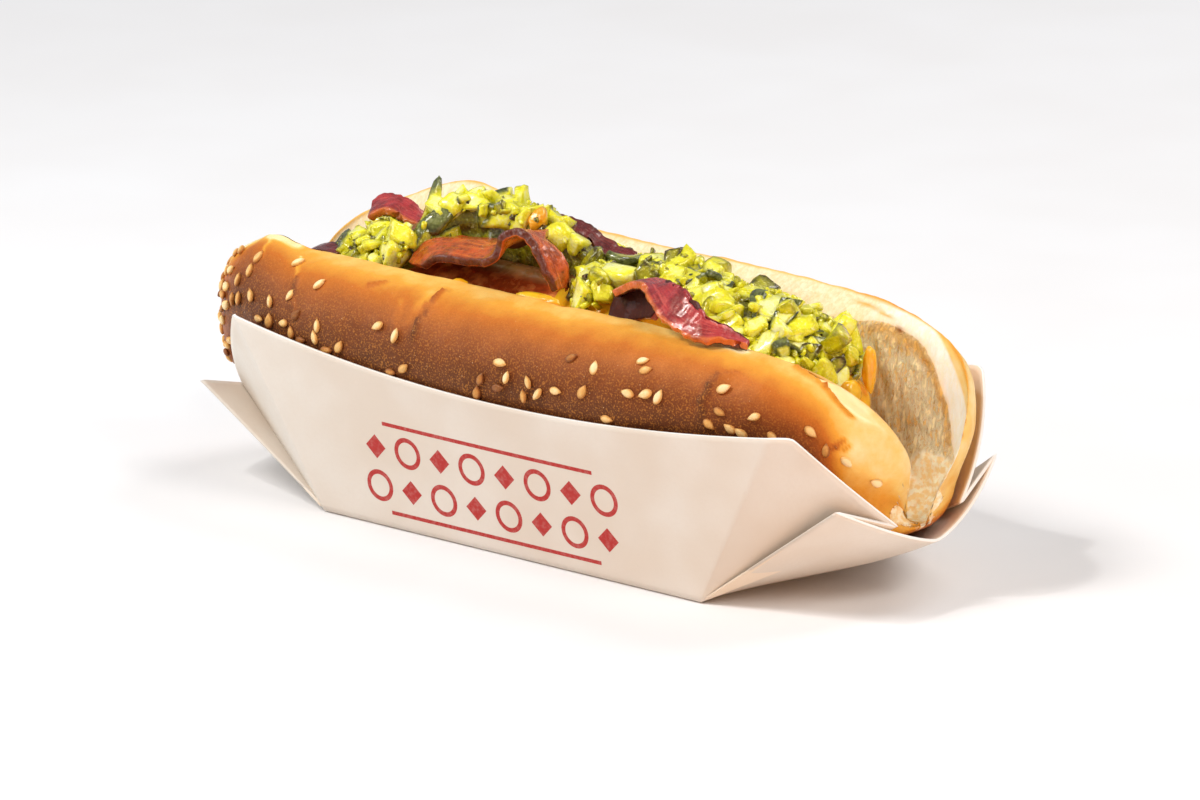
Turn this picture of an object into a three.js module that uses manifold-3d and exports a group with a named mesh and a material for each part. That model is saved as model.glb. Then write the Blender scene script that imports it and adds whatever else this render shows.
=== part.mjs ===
// Hot dog in a folded paperboard tray. Millimetres, +Z up.
// X runs along the bun, -Y is the seeded side, and the origin is under the middle of the whole.
import * as THREE from "three";
import { mergeVertices } from "three/addons/utils/BufferGeometryUtils.js";
import Module from "manifold-3d";

const wasm = await Module();
wasm.setup();

// Clearance kept between neighbouring pieces.
const GAP = 0.35;
const UP = new THREE.Vector3(0, 0, 1);

// Tray: one sheet of paperboard, flat rectangular floor, two tall sides, two low flared ends.
const BOARD = 0.6;
// The rounded rod along a fold stops this share of its length before the rim.
const ROD_SHORT = 0.012;
const FLOOR_HALF_LENGTH = 48.3;
const FLOOR_HALF_WIDTH = 29;
const SIDE_RIM = { halfLength: 68.5, halfWidth: 33, height: 38, dip: 5.4, bulge: 1.6 };
// Each end is a flap between two pointed tips. Beside it a web runs in from the side's rim, over
// a peak, to a fold behind the flap. These places are for the front corner of a right end.
const ENDS = [
  {
    signX: 1,
    tip: new THREE.Vector3(78.8, 25.6, 23.4),
    reach: 84.2,
    height: 12.8,
    frontPeak: new THREE.Vector3(72.2, 31, 38.2),
    backPeak: new THREE.Vector3(70, 32.6, 37.4),
    fold: new THREE.Vector3(82, 10, 17.5),
    webBulge: 1.8,
  },
  {
    signX: -1,
    tip: new THREE.Vector3(83.2, 27, 20.4),
    reach: 86,
    height: 12,
    frontPeak: new THREE.Vector3(69.3, 32.4, 38.1),
    backPeak: new THREE.Vector3(70, 32.6, 37.4),
    fold: new THREE.Vector3(83.2, 13.8, 16.8),
    webBulge: 1.2,
  },
];
// How steeply a flap's rim climbs to its tips, how much the flap sags in its middle, and the level
// share of a web's rim.
const TIP_POWER = 1.3;
const FLAP_SAG = 0.5;
const WEB_LEVEL = 0.12;

// Bun: split lengthways and opened upwards, front half seeded. Its two ends close by superellipses,
// whose powers are given in plan, over the top of each half, and underneath. At its ends the back
// half starts later, the front half stops shorter, and the underside is cut in. Its sections are
// given as [y, z] points, the skin's from the front rim round underneath to the back rim, and the
// hollow's from rim to rim over its floor.
const BUN = { from: -90, to: 86, axisHeight: 15.5, thinning: 2.6 };
const BUN_STEPS = 30;
const BUN_HALF_SIDES = 15;
const PLAN_POWER = { left: 3.8, right: 2.9 };
const TOP_POWER = { left: 6.5, frontRight: 4, backRight: 5 };
const UNDER_POWER = 1.8;
const BACK_START = 9;
const FRONT_SHORT = 4.5;
const UNDERCUT = 5;
// How far the bread keeps from the middle of the paperboard where the tray presses on it.
const REST = 1.05;
const BACK_HUMP = { x: -54, width: 18, height: 5.5 };
const FRONT_HUMP = { x: -72, width: 7, height: 1.8 };
const FRONT_RIM = [-18.5, 50.2];
const BACK_RIM = [23.5, 52];
const BUN_OUTER = [
  FRONT_RIM,
  [-26.5, 48.6],
  [-32.2, 42.5],
  [-33.6, 35.5],
  [-31.4, 25],
  [-29.4, 12],
  [-23, 2.6],
  [0, 1.1],
  [23, 2.6],
  [29.4, 12],
  [31.6, 25],
  [34, 37],
  [32.2, 46],
  BACK_RIM,
];
const HOLLOW_WALL = [
  FRONT_RIM,
  [-14.6, 46],
  [-14, 36],
  [-10, 26],
  [0, 22.5],
  [10.5, 26],
  [15, 37],
  [17.5, 48],
  BACK_RIM,
];
// The hollow's floor falls towards the open end and rises to shut the other.
const OPEN_END = { start: 50, floorDrop: 9.5, closedStart: -70, closedRise: 14 };

// Sesame seed, a flattened drop, and the patches of crust that the seeds are scattered over:
// from and to run along the bun, top and bottom count its rows of facets down from the rim.
const SEED = { length: 3.1, width: 1.9, thickness: 1.1, sink: 0.12, apart: 3.2 };
const SEED_PATCHES = [
  { from: -87, to: -45, top: 1.1, bottom: 4.6, count: 28 },
  { from: -45, to: -12, top: 1.8, bottom: 3.3, count: 5 },
  { from: -12, to: 42, top: 2.3, bottom: 3.5, count: 20 },
  { from: 30, to: 82, top: 2, bottom: 4.4, count: 14 },
];

// Filling. Past the sausage the sauce shrinks and shifts back.
const SAUSAGE = { radius: 12, from: -69, to: 52, y: -0.4, z: 38, bend: 1.6, droop: 4.5 };
const SAUCE = { from: -12, to: 62, thickness: 2, shrink: 0.34, shift: 3 };
const RELISH = { from: -66, to: 60.5, y: 1.2, halfWidth: 13.5, halfHeight: 8.5 };
const RELISH_PIECES = 60;
const RELISH_CUBE = [[3.6, 6.8], [3.2, 5.4], [1.8, 4]];

// Random numbers that come out the same on every run.
function seededRandom(seed) {
  let state = seed;
  return () => {
    state = (state + 0x6d2b79f5) | 0;
    let mixed = Math.imul(state ^ (state >>> 15), 1 | state);
    mixed = (mixed + Math.imul(mixed ^ (mixed >>> 7), 61 | mixed)) ^ mixed;
    return ((mixed ^ (mixed >>> 14)) >>> 0) / 4294967296;
  };
}

function lerp(a, b, t) {
  return a + (b - a) * t;
}

function smoothStep(from, to, value) {
  const t = Math.min(1, Math.max(0, (value - from) / (to - from)));
  return t * t * (3 - 2 * t);
}

// Geometry to manifold solid and back.
function toSolid(geometry) {
  const bare = geometry.clone();
  bare.deleteAttribute("normal");
  bare.deleteAttribute("uv");
  const merged = mergeVertices(bare, 1e-4);
  const mesh = new wasm.Mesh({
    numProp: 3,
    vertProperties: new Float32Array(merged.attributes.position.array),
    triVerts: new Uint32Array(merged.index.array),
  });
  return new wasm.Manifold(mesh);
}

function toGeometry(solid) {
  const mesh = solid.getMesh();
  const geometry = new THREE.BufferGeometry();
  geometry.setAttribute("position", new THREE.BufferAttribute(mesh.vertProperties, 3));
  geometry.setIndex(new THREE.BufferAttribute(mesh.triVerts, 1));
  return geometry;
}

function joined(solids) {
  return solids.reduce((all, one) => all.add(one));
}

function without(solid, others) {
  return others.reduce((left, other) => left.subtract(other), solid);
}

function largestPiece(solid) {
  return solid.decompose().sort((a, b) => b.volume() - a.volume())[0];
}

// Closed surface from a grid of points: u along it, v round it. Each end ring has shrunk to a
// point or a line, and its points merge.
function loft(steps, sides, pointAt) {
  const positions = [];
  for (let i = 0; i <= steps; i += 1) {
    for (let j = 0; j < sides; j += 1) {
      positions.push(...pointAt(i / steps, j / sides).toArray());
    }
  }
  const index = [];
  for (let i = 0; i < steps; i += 1) {
    for (let j = 0; j < sides; j += 1) {
      const a = i * sides + j;
      const b = i * sides + ((j + 1) % sides);
      index.push(a, b, b + sides, a, b + sides, a + sides);
    }
  }
  return closedGeometry(positions, index);
}

// Merged, with its faces turned outwards.
function closedGeometry(positions, index) {
  const raw = new THREE.BufferGeometry();
  raw.setAttribute("position", new THREE.Float32BufferAttribute(positions, 3));
  raw.setIndex(index);
  const merged = mergeVertices(raw, 1e-4);
  const source = merged.index.array;
  const kept = [];
  for (let i = 0; i < source.length; i += 3) {
    const [a, b, c] = [source[i], source[i + 1], source[i + 2]];
    if (a !== b && b !== c && c !== a) kept.push(a, b, c);
  }
  const at = (n) => new THREE.Vector3().fromBufferAttribute(merged.attributes.position, n);
  let volume = 0;
  for (let i = 0; i < kept.length; i += 3) {
    volume += at(kept[i]).dot(at(kept[i + 1]).cross(at(kept[i + 2])));
  }
  if (volume < 0) kept.reverse();
  merged.setIndex(kept);
  return merged;
}

// A sheet of even thickness over a grid of points.
function sheet(rows, columns, pointAt, thickness) {
  const step = 1e-3;
  const positions = [];
  [1, -1].forEach((face) => {
    for (let i = 0; i <= rows; i += 1) {
      for (let j = 0; j <= columns; j += 1) {
        const u = i / rows;
        const v = j / columns;
        const along = pointAt(u + step, v).sub(pointAt(u - step, v));
        const across = pointAt(u, v + step).sub(pointAt(u, v - step));
        const normal = along.cross(across).normalize();
        positions.push(...pointAt(u, v).addScaledVector(normal, (face * thickness) / 2).toArray());
      }
    }
  });
  const at = (face, i, j) => (face * (rows + 1) + i) * (columns + 1) + j;
  const index = [];
  const quad = (a, b, c, d) => index.push(a, b, c, a, c, d);
  for (let i = 0; i < rows; i += 1) {
    for (let j = 0; j < columns; j += 1) {
      quad(at(0, i, j), at(0, i + 1, j), at(0, i + 1, j + 1), at(0, i, j + 1));
      quad(at(1, i, j), at(1, i, j + 1), at(1, i + 1, j + 1), at(1, i + 1, j));
    }
    quad(at(0, i, 0), at(1, i, 0), at(1, i + 1, 0), at(0, i + 1, 0));
    quad(at(0, i, columns), at(0, i + 1, columns), at(1, i + 1, columns), at(1, i, columns));
  }
  for (let j = 0; j < columns; j += 1) {
    quad(at(0, 0, j), at(0, 0, j + 1), at(1, 0, j + 1), at(1, 0, j));
    quad(at(0, rows, j), at(1, rows, j), at(1, rows, j + 1), at(0, rows, j + 1));
  }
  return closedGeometry(positions, index);
}

// Round rod between two points, used for the rounded outside of a fold.
function rod(from, to, radius) {
  const length = from.distanceTo(to);
  const geometry = new THREE.CapsuleGeometry(radius, length, 1, 5);
  const direction = to.clone().sub(from).normalize();
  const turn = new THREE.Quaternion().setFromUnitVectors(new THREE.Vector3(0, 1, 0), direction);
  geometry.applyQuaternion(turn);
  geometry.translate(...from.clone().add(to).divideScalar(2).toArray());
  return geometry;
}

function mirrored(point, signX, signY) {
  return new THREE.Vector3(point.x * signX, point.y * signY, point.z);
}

// Rim of a long side: lowest in the middle, and pushed out a little by the bun.
function sideRim(t, signY) {
  const middle = 1 - (2 * t - 1) ** 2;
  return new THREE.Vector3(
    lerp(-SIDE_RIM.halfLength, SIDE_RIM.halfLength, t),
    signY * (SIDE_RIM.halfWidth + SIDE_RIM.bulge * middle),
    SIDE_RIM.height - SIDE_RIM.dip * middle,
  );
}

function webPeak(end, signY) {
  return signY < 0 ? end.frontPeak : end.backPeak;
}

// Rim of a corner web: level as far as its peak, then down to the fold behind the end.
function webRim(t, end, signY) {
  const corner = mirrored(sideRim(1, 1), end.signX, signY);
  const peak = mirrored(webPeak(end, signY), end.signX, signY);
  const fold = mirrored(end.fold, end.signX, signY);
  if (t < WEB_LEVEL) return corner.lerp(peak, t / WEB_LEVEL);
  const down = (t - WEB_LEVEL) / (1 - WEB_LEVEL);
  const out = new THREE.Vector3(end.signX, signY, 0).normalize();
  return peak.lerp(fold, down).addScaledVector(out, end.webBulge * 4 * down * (1 - down));
}

function endAt(x) {
  return x > 0 ? ENDS[0] : ENDS[1];
}

// Rim of an end: pointed tips at the corners, lowest and furthest out in the middle.
function endRim(t, end) {
  const across = 2 * t - 1;
  const fall = Math.abs(across) ** TIP_POWER;
  return new THREE.Vector3(
    end.signX * lerp(end.reach, end.tip.x, across ** 2),
    across * end.tip.y,
    lerp(end.height, end.tip.z, fall),
  );
}

// The folded sheet, extra thick where it is only used to cut clearance from its contents.
function traySolid(extra) {
  const thick = BOARD + 2 * extra;
  const low = BOARD / 2;
  const beyond = 1 + extra / 40;
  const start = 0.01;
  const fan = (cornerAt, rimAt) => (u, v) => {
    return cornerAt(u).lerp(rimAt(u), lerp(start, beyond, v));
  };
  const corner = (signX, signY) => {
    return new THREE.Vector3(signX * FLOOR_HALF_LENGTH, signY * FLOOR_HALF_WIDTH, low);
  };
  const floor = new THREE.BoxGeometry(2 * FLOOR_HALF_LENGTH, 2 * FLOOR_HALF_WIDTH, thick);
  floor.translate(0, 0, low);
  const solids = [toSolid(floor)];
  const fold = (from, to) => solids.push(toSolid(rod(from, to, thick / 2)));
  [-1, 1].forEach((signY) => {
    const base = (t) => corner(-1, signY).lerp(corner(1, signY), t);
    const side = fan(base, (t) => sideRim(t, signY));
    solids.push(toSolid(sheet(8, 1, side, thick)));
    fold(corner(-1, signY), corner(1, signY));
  });
  ENDS.forEach((end) => {
    const { signX } = end;
    const base = (t) => corner(signX, -1).lerp(corner(signX, 1), t);
    const flap = (t, v) => {
      const bend = 1 + FLAP_SAG * (1 - (2 * t - 1) ** 2);
      const part = lerp(0, beyond, v);
      const rim = endRim(t, end);
      const point = base(t).lerp(rim, part);
      point.z = low + (rim.z - low) * Math.max(0, part) ** bend;
      return point;
    };
    solids.push(toSolid(sheet(10, 3, flap, thick)));
    fold(corner(signX, -1), corner(signX, 1));
    [-1, 1].forEach((signY) => {
      const foot = corner(signX, signY);
      const web = fan(() => foot.clone(), (t) => webRim(t, end, signY));
      solids.push(toSolid(sheet(6, 2, web, thick)));
      const tip = mirrored(end.tip, signX, signY);
      const inner = mirrored(end.fold, signX, signY);
      const tuck = fan(() => foot.clone(), (t) => inner.clone().lerp(tip, t));
      solids.push(toSolid(sheet(1, 1, tuck, thick)));
      [webRim(0, end, signY), inner, tip].forEach((edge) => {
        fold(foot, foot.clone().lerp(edge, beyond - ROD_SHORT));
      });
    });
  });
  return largestPiece(joined(solids));
}

// Smooth curve through (y, z) points of a cross-section.
function sectionCurve(points) {
  const places = points.map(([y, z]) => new THREE.Vector3(0, y, z));
  return new THREE.CatmullRomCurve3(places, false, "centripetal");
}

// How far the bun's outline has closed at x, from 1 in the middle to 0 at its very end.
function bunTaper(x, power) {
  const t = Math.min(1, x < 0 ? x / BUN.from : x / BUN.to);
  return (1 - t ** power) ** (1 / power);
}

// The bun's outer skin and the wall of its hollow at station x; s runs from the front rim (0)
// under the filling to the back rim (1). A positive extra makes the bread that much thicker.
const outerCurve = sectionCurve(BUN_OUTER);
const wallCurve = sectionCurve(HOLLOW_WALL);

function hump({ x: middle, width, height }, x) {
  return height * Math.exp(-(((x - middle) / width) ** 2));
}

function bunPlace(curve, s, x) {
  const point = curve.getPointAt(s);
  if (curve === wallCurve) {
    const depth = Math.sin(Math.PI * s) ** 2;
    point.z -= depth * OPEN_END.floorDrop * smoothStep(OPEN_END.start, BUN.to, x);
    point.z += depth * OPEN_END.closedRise * smoothStep(OPEN_END.closedStart, BUN.from, x);
  }
  const back = smoothStep(0.5, 0.85, s);
  point.z += hump(BACK_HUMP, x) * smoothStep(0.72, 1, s);
  point.z += hump(FRONT_HUMP, x) * (1 - smoothStep(0, 0.2, s));
  const rightPower = lerp(TOP_POWER.frontRight, TOP_POWER.backRight, back);
  const over = point.z > BUN.axisHeight;
  const power = over ? (x < 0 ? TOP_POWER.left : rightPower) : UNDER_POWER;
  point.y *= bunTaper(x, x < 0 ? PLAN_POWER.left : PLAN_POWER.right);
  point.z = BUN.axisHeight + (point.z - BUN.axisHeight) * bunTaper(x, power);
  point.x = x + BACK_START * back * smoothStep(-40, BUN.from, x);
  point.x -= FRONT_SHORT * (1 - smoothStep(0.2, 0.5, s)) * smoothStep(50, BUN.to, x);
  point.x -= UNDERCUT * (1 - smoothStep(BUN.axisHeight, 32, point.z)) * smoothStep(50, BUN.to, x);
  return point;
}

// How far the tray's ends and corner webs push a point of the bun's skin inwards.
function trayPush(point) {
  const push = new THREE.Vector3();
  const reach = Math.abs(point.x);
  if (reach < FLOOR_HALF_LENGTH) return push;
  const end = endAt(point.x);
  const across = Math.min(1, Math.abs(point.y) / end.tip.y);
  const rim = endRim((across + 1) / 2, end);
  const part = Math.min(1, (reach - FLOOR_HALF_LENGTH) / (Math.abs(rim.x) - FLOOR_HALF_LENGTH));
  const height = BOARD / 2 + (rim.z - BOARD / 2) * part ** (1 + FLAP_SAG * (1 - across ** 2));
  push.z = Math.max(0, height + REST - point.z);
  const sides = new THREE.Vector3(Math.sign(point.x), Math.sign(point.y), 1);
  const foot = new THREE.Vector3(FLOOR_HALF_LENGTH, FLOOR_HALF_WIDTH, BOARD / 2);
  const peak = webPeak(end, point.y).clone().sub(foot);
  const outward = peak.cross(end.fold.clone().sub(foot)).normalize();
  const beyond = outward.dot(point.clone().add(push).multiply(sides).sub(foot)) + REST;
  const held = 1 - smoothStep(0, 9, point.z - rimHeight(point.x));
  return push.addScaledVector(outward.multiply(sides), -Math.max(0, beyond) * held);
}

// Point on the outer skin or on the hollow's wall, with the halves thinning out at the ends.
function bunPoint(onSkin, s, x, extra) {
  const skin = bunPlace(outerCurve, s, x);
  const wall = bunPlace(wallCurve, s, x);
  const middle = skin.clone().add(wall).divideScalar(2);
  const half = skin.sub(middle).multiplyScalar(bunTaper(x, BUN.thinning));
  const push = trayPush(middle.clone().add(half));
  const thick = half.length();
  const grown = thick > 0 ? 1 + extra / thick : 1;
  return middle.addScaledVector(half, onSkin ? grown : -grown).add(push);
}

// Stations along the bun, closest together at its ends, and shares round it, closest at the rims.
function bunStation(i) {
  return lerp(BUN.from, BUN.to, (1 - Math.cos((Math.PI * i) / BUN_STEPS)) / 2);
}

function bunShare(j) {
  const t = j / BUN_HALF_SIDES;
  return t - (0.45 * Math.sin(2 * Math.PI * t)) / (2 * Math.PI);
}

function bunSolid(extra) {
  const sides = 2 * BUN_HALF_SIDES;
  const geometry = loft(BUN_STEPS, sides, (u, v) => {
    const j = Math.round(v * sides);
    const onSkin = j <= BUN_HALF_SIDES;
    const share = bunShare(onSkin ? j : sides - j);
    return bunPoint(onSkin, share, bunStation(Math.round(u * BUN_STEPS)), extra);
  });
  return toSolid(geometry);
}

// Point on the flat facets of the crust: i and j count stations and shares, and may be fractions.
function crustPoint(i, j) {
  const at = (di, dj) => {
    return bunPoint(true, bunShare(Math.floor(j) + dj), bunStation(Math.floor(i) + di), 0);
  };
  const near = at(0, 0).lerp(at(1, 0), i % 1);
  const far = at(0, 1).lerp(at(1, 1), i % 1);
  return near.lerp(far, j % 1);
}

// Height of the tray's front rim beside station x.
function rimHeight(x) {
  const reach = Math.abs(x);
  const { frontPeak, fold } = endAt(x);
  if (reach > frontPeak.x) {
    const t = Math.min(1, (reach - frontPeak.x) / (fold.x - frontPeak.x));
    return lerp(frontPeak.z, fold.z, t);
  }
  return SIDE_RIM.height - SIDE_RIM.dip * (1 - Math.min(1, reach / SIDE_RIM.halfLength) ** 2);
}

// Seeds lie flat on the front half's crust, well clear of the paperboard.
function seedSolids() {
  const random = seededRandom(11);
  const placed = [];
  const solids = [];
  const step = 0.02;
  const sow = (patch) => {
    const part = (lerp(patch.from, patch.to, random()) - BUN.from) / (BUN.to - BUN.from);
    const i = (BUN_STEPS * Math.acos(1 - 2 * part)) / Math.PI;
    const j = lerp(patch.top, patch.bottom, random());
    const turn = random() * Math.PI * 2;
    const size = lerp(0.86, 1.1, random());
    const place = crustPoint(i, j);
    const tooNear = placed.some((other) => other.distanceTo(place) < SEED.apart);
    const above = place.z - rimHeight(place.x);
    if (above < SEED.length * 0.75 || tooNear) return false;
    const along = crustPoint(i + step, j).sub(place);
    const around = crustPoint(i, j + step).sub(place);
    const normal = around.cross(along).normalize();
    const seed = new THREE.SphereGeometry(0.5, 5, 3);
    seed.scale(SEED.width * size, SEED.length * size, SEED.thickness * size);
    seed.rotateZ(turn);
    seed.applyQuaternion(new THREE.Quaternion().setFromUnitVectors(UP, normal));
    seed.translate(...place.clone().addScaledVector(normal, SEED.sink).toArray());
    placed.push(place);
    solids.push(toSolid(seed));
    return true;
  };
  SEED_PATCHES.forEach((patch) => {
    let sown = 0;
    for (let draw = 0; draw < 40 * patch.count && sown < patch.count; draw += 1) {
      if (sow(patch)) sown += 1;
    }
  });
  return solids;
}

// Height of the sausage's axis, which droops towards the open end.
function sausageHeight(x) {
  return SAUSAGE.z - SAUSAGE.droop * smoothStep(10, SAUSAGE.to, x);
}

// Sausage: round, blunt at the ends and slightly bent, a little thicker where it only clears room.
function sausageSolid(extra) {
  const reach = (SAUSAGE.to - SAUSAGE.from) / 2 + extra;
  const middle = (SAUSAGE.to + SAUSAGE.from) / 2;
  return toSolid(loft(14, 14, (u, v) => {
    const t = -Math.cos(Math.PI * u);
    const radius = (SAUSAGE.radius + extra) * (1 - Math.abs(t) ** 7) ** (1 / 2.2);
    const angle = 2 * Math.PI * v;
    return new THREE.Vector3(
      middle + reach * t,
      SAUSAGE.y + SAUSAGE.bend * (t ** 2 - 0.4) + radius * Math.cos(angle),
      sausageHeight(middle + reach * t) + radius * Math.sin(angle),
    );
  }));
}

// Sauce: a soft coat over the sausage, running out into a lobe past its end.
function sauceSolid(extra) {
  return toSolid(loft(13, 10, (u, v) => {
    const x = lerp(SAUCE.from - extra, SAUCE.to + extra, (1 - Math.cos(Math.PI * u)) / 2);
    const end = Math.max(0, 1 - Math.abs(2 * u - 1) ** 5) ** 0.5;
    const wave = 0.8 * Math.sin(x * 0.42) + 0.6 * Math.sin(x * 0.19 + 2);
    const angle = 2 * Math.PI * v;
    const past = smoothStep(38, SAUCE.to, x);
    const full = (SAUSAGE.radius + SAUCE.thickness + 0.4 * wave) * (1 - SAUCE.shrink * past);
    const radius = (full + extra) * end;
    const lift = Math.sin(angle);
    return new THREE.Vector3(
      x,
      SAUSAGE.y + SAUCE.shift * past + 1.1 * radius * Math.cos(angle),
      sausageHeight(x) + (lift > 0 ? radius : (2 + wave + extra) * end) * lift,
    );
  }));
}

// Bacon: thin wavy rashers. The front edge is a curve, and the rasher runs back from it.
const BACON = [
  {
    edge: [[-43, -11, 50], [-36, -14, 51.6], [-28, -13.6, 51.4], [-22, -13.4, 51], [-17.5, -14, 54.8],
      [-12, -14, 56.2], [-5, -13.5, 54], [0, -13, 50.4]],
    across: [1, 8.5, 4.6],
    ripple: 0.4,
  },
  {
    edge: [[13, -12, 53.2], [19, -16, 55.4], [27, -19, 53.2], [35, -21.5, 51], [41.5, -22, 50.4]],
    across: [2, 8, 2.4],
    ripple: 0.5,
  },
  {
    edge: [[-27, 12, 53.6], [-18, 12.5, 53], [-10, 13, 51], [-1, 14, 49]],
    across: [1, 2.6, 4.6],
    ripple: 0.3,
  },
  {
    edge: [[-65, 5, 50], [-59, 6, 52.6], [-53, 5, 53.8], [-46, 6, 53]],
    across: [-1, 7.5, 4.4],
    ripple: 0.4,
  },
  {
    edge: [[-70, -8, 47], [-66, -9, 47.6], [-61, -8, 48]],
    across: [0, 7, 1.5],
    ripple: 0.3,
  },
];
const RASHER = 1.7;

function baconSolid(rasher, extra) {
  const edge = new THREE.CatmullRomCurve3(rasher.edge.map((place) => new THREE.Vector3(...place)));
  const across = new THREE.Vector3(...rasher.across);
  const width = across.length();
  const grow = extra / width;
  const surface = (u, v) => {
    const back = lerp(-grow, 1 + grow, v);
    const point = edge.getPoint(Math.min(1, Math.max(0, u))).addScaledVector(across, back);
    point.z += rasher.ripple * Math.sin(9 * u + 5 * back) - 3.2 * back ** 2;
    const along = edge.getTangent(Math.min(1, Math.max(0, u)));
    const past = u < 0.5 ? -extra * (1 - 2 * u) : extra * (2 * u - 1);
    return point.addScaledVector(along, past);
  };
  return toSolid(sheet(14, 3, surface, RASHER + 2 * extra));
}

// Relish: a long heap with cubes and slices of pickle standing out of it. Its crest is given as
// [x, z] points.
const RELISH_TOP = [
  [-66, 49],
  [-53, 57],
  [-40, 60.5],
  [-16, 60],
  [0, 57.2],
  [16, 56.4],
  [27, 53.8],
  [47, 53],
  [54, 50],
  [61, 45],
];

function relishSection(x) {
  const after = Math.max(1, RELISH_TOP.findIndex(([at]) => at >= x));
  const [x0, z0] = RELISH_TOP[after - 1];
  const [x1, z1] = RELISH_TOP[after];
  const top = lerp(z0, z1, (x - x0) / (x1 - x0));
  const bare = smoothStep(-44, -34, x) * (1 - smoothStep(-12, -2, x));
  return { top, front: lerp(RELISH.halfWidth, 3.5, bare), back: RELISH.halfWidth };
}

function relishPoint(x, angle) {
  const section = relishSection(x);
  const t = (2 * (x - RELISH.from)) / (RELISH.to - RELISH.from) - 1;
  const end = Math.max(0, 1 - Math.abs(t) ** 7) ** 0.4;
  const side = Math.cos(angle) < 0 ? section.front : section.back;
  const low = section.top - 2 * RELISH.halfHeight;
  const middle = (section.top + low) / 2;
  const lump = 1 + 0.05 * Math.sin(x * 0.9 + 3 * angle) + 0.05 * Math.sin(x * 0.37 - 2 * angle);
  return new THREE.Vector3(
    x,
    RELISH.y + side * end * lump * Math.cos(angle),
    middle + RELISH.halfHeight * end * lump * Math.sin(angle),
  );
}

function relishPieces(blocked) {
  const random = seededRandom(23);
  const pieces = [];
  for (let draw = 0; draw < 12 * RELISH_PIECES && pieces.length < RELISH_PIECES; draw += 1) {
    const along = (pieces.length + random()) / RELISH_PIECES;
    const x = lerp(RELISH.from + 2, RELISH.to - 2, along);
    const angle = lerp(0.02, 0.98, random()) * Math.PI;
    const place = relishPoint(x, angle);
    const [length, width, height] = RELISH_CUBE.map(([low, high]) => lerp(low, high, random()));
    const piece = new THREE.BoxGeometry(length, width, height);
    piece.rotateX(random() * Math.PI);
    piece.rotateY(random() * Math.PI);
    piece.rotateZ(random() * Math.PI);
    piece.translate(place.x, place.y, place.z);
    const solid = toSolid(piece);
    const crossing = blocked.some((other) => solid.intersect(other).volume() > 0.02 * solid.volume());
    if (!crossing) pieces.push(solid);
  }
  return pieces;
}

function relishCore() {
  return toSolid(loft(20, 12, (u, v) => {
    const x = lerp(RELISH.from, RELISH.to, (1 - Math.cos(Math.PI * u)) / 2);
    return relishPoint(x, 2 * Math.PI * v);
  }));
}

// Fitting the pieces together: what lies on top makes way for what is under it.
const tray = traySolid(0);
const trayRoom = traySolid(GAP);
const sausage = sausageSolid(0);
const sausageRoom = sausageSolid(GAP);
const bunRoom = bunSolid(GAP);
const bun = largestPiece(without(joined([bunSolid(0), ...seedSolids()]), [trayRoom, sausageRoom]));
const sauce = largestPiece(without(sauceSolid(0), [sausageRoom, bunRoom]));
const sauceRoom = sauceSolid(GAP);
const rashers = BACON.map((rasher) => {
  return largestPiece(without(baconSolid(rasher, 0), [bunRoom, sausageRoom, sauceRoom]));
});
const rasherRooms = BACON.map((rasher) => baconSolid(rasher, GAP));
const heap = joined([relishCore(), ...relishPieces([bunRoom, ...rasherRooms])]);
const relish = largestPiece(without(heap, [bunRoom, sausageRoom, sauceRoom, ...rasherRooms]));

function piece(name, solid, color, roughness) {
  const material = new THREE.MeshStandardMaterial({ color, roughness, metalness: 0 });
  const mesh = new THREE.Mesh(toGeometry(solid), material);
  mesh.name = name;
  return mesh;
}

const hotDog = new THREE.Group();
hotDog.add(piece("tray", tray, 0xeadfd2, 0.75));
hotDog.add(piece("bun", bun, 0xc07a38, 0.6));
hotDog.add(piece("sausage", sausage, 0x8a3b1c, 0.3));
hotDog.add(piece("cheese_sauce", sauce, 0xe8921e, 0.35));
hotDog.add(piece("relish", relish, 0xb3bd35, 0.3));
rashers.forEach((rasher, n) => hotDog.add(piece(`bacon_${n + 1}`, rasher, 0x7d2418, 0.35)));

// Everything above is placed from the middle of the tray's floor. The origin moves under the
// middle of the whole.
const middle = new THREE.Box3().setFromObject(hotDog).getCenter(new THREE.Vector3());
hotDog.position.set(-middle.x, -middle.y, 0);

export default hotDog;
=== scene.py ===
import math
import random
from itertools import chain

import bmesh
import bpy
import numpy as np
from mathutils import Matrix, Quaternion, Vector, noise


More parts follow.
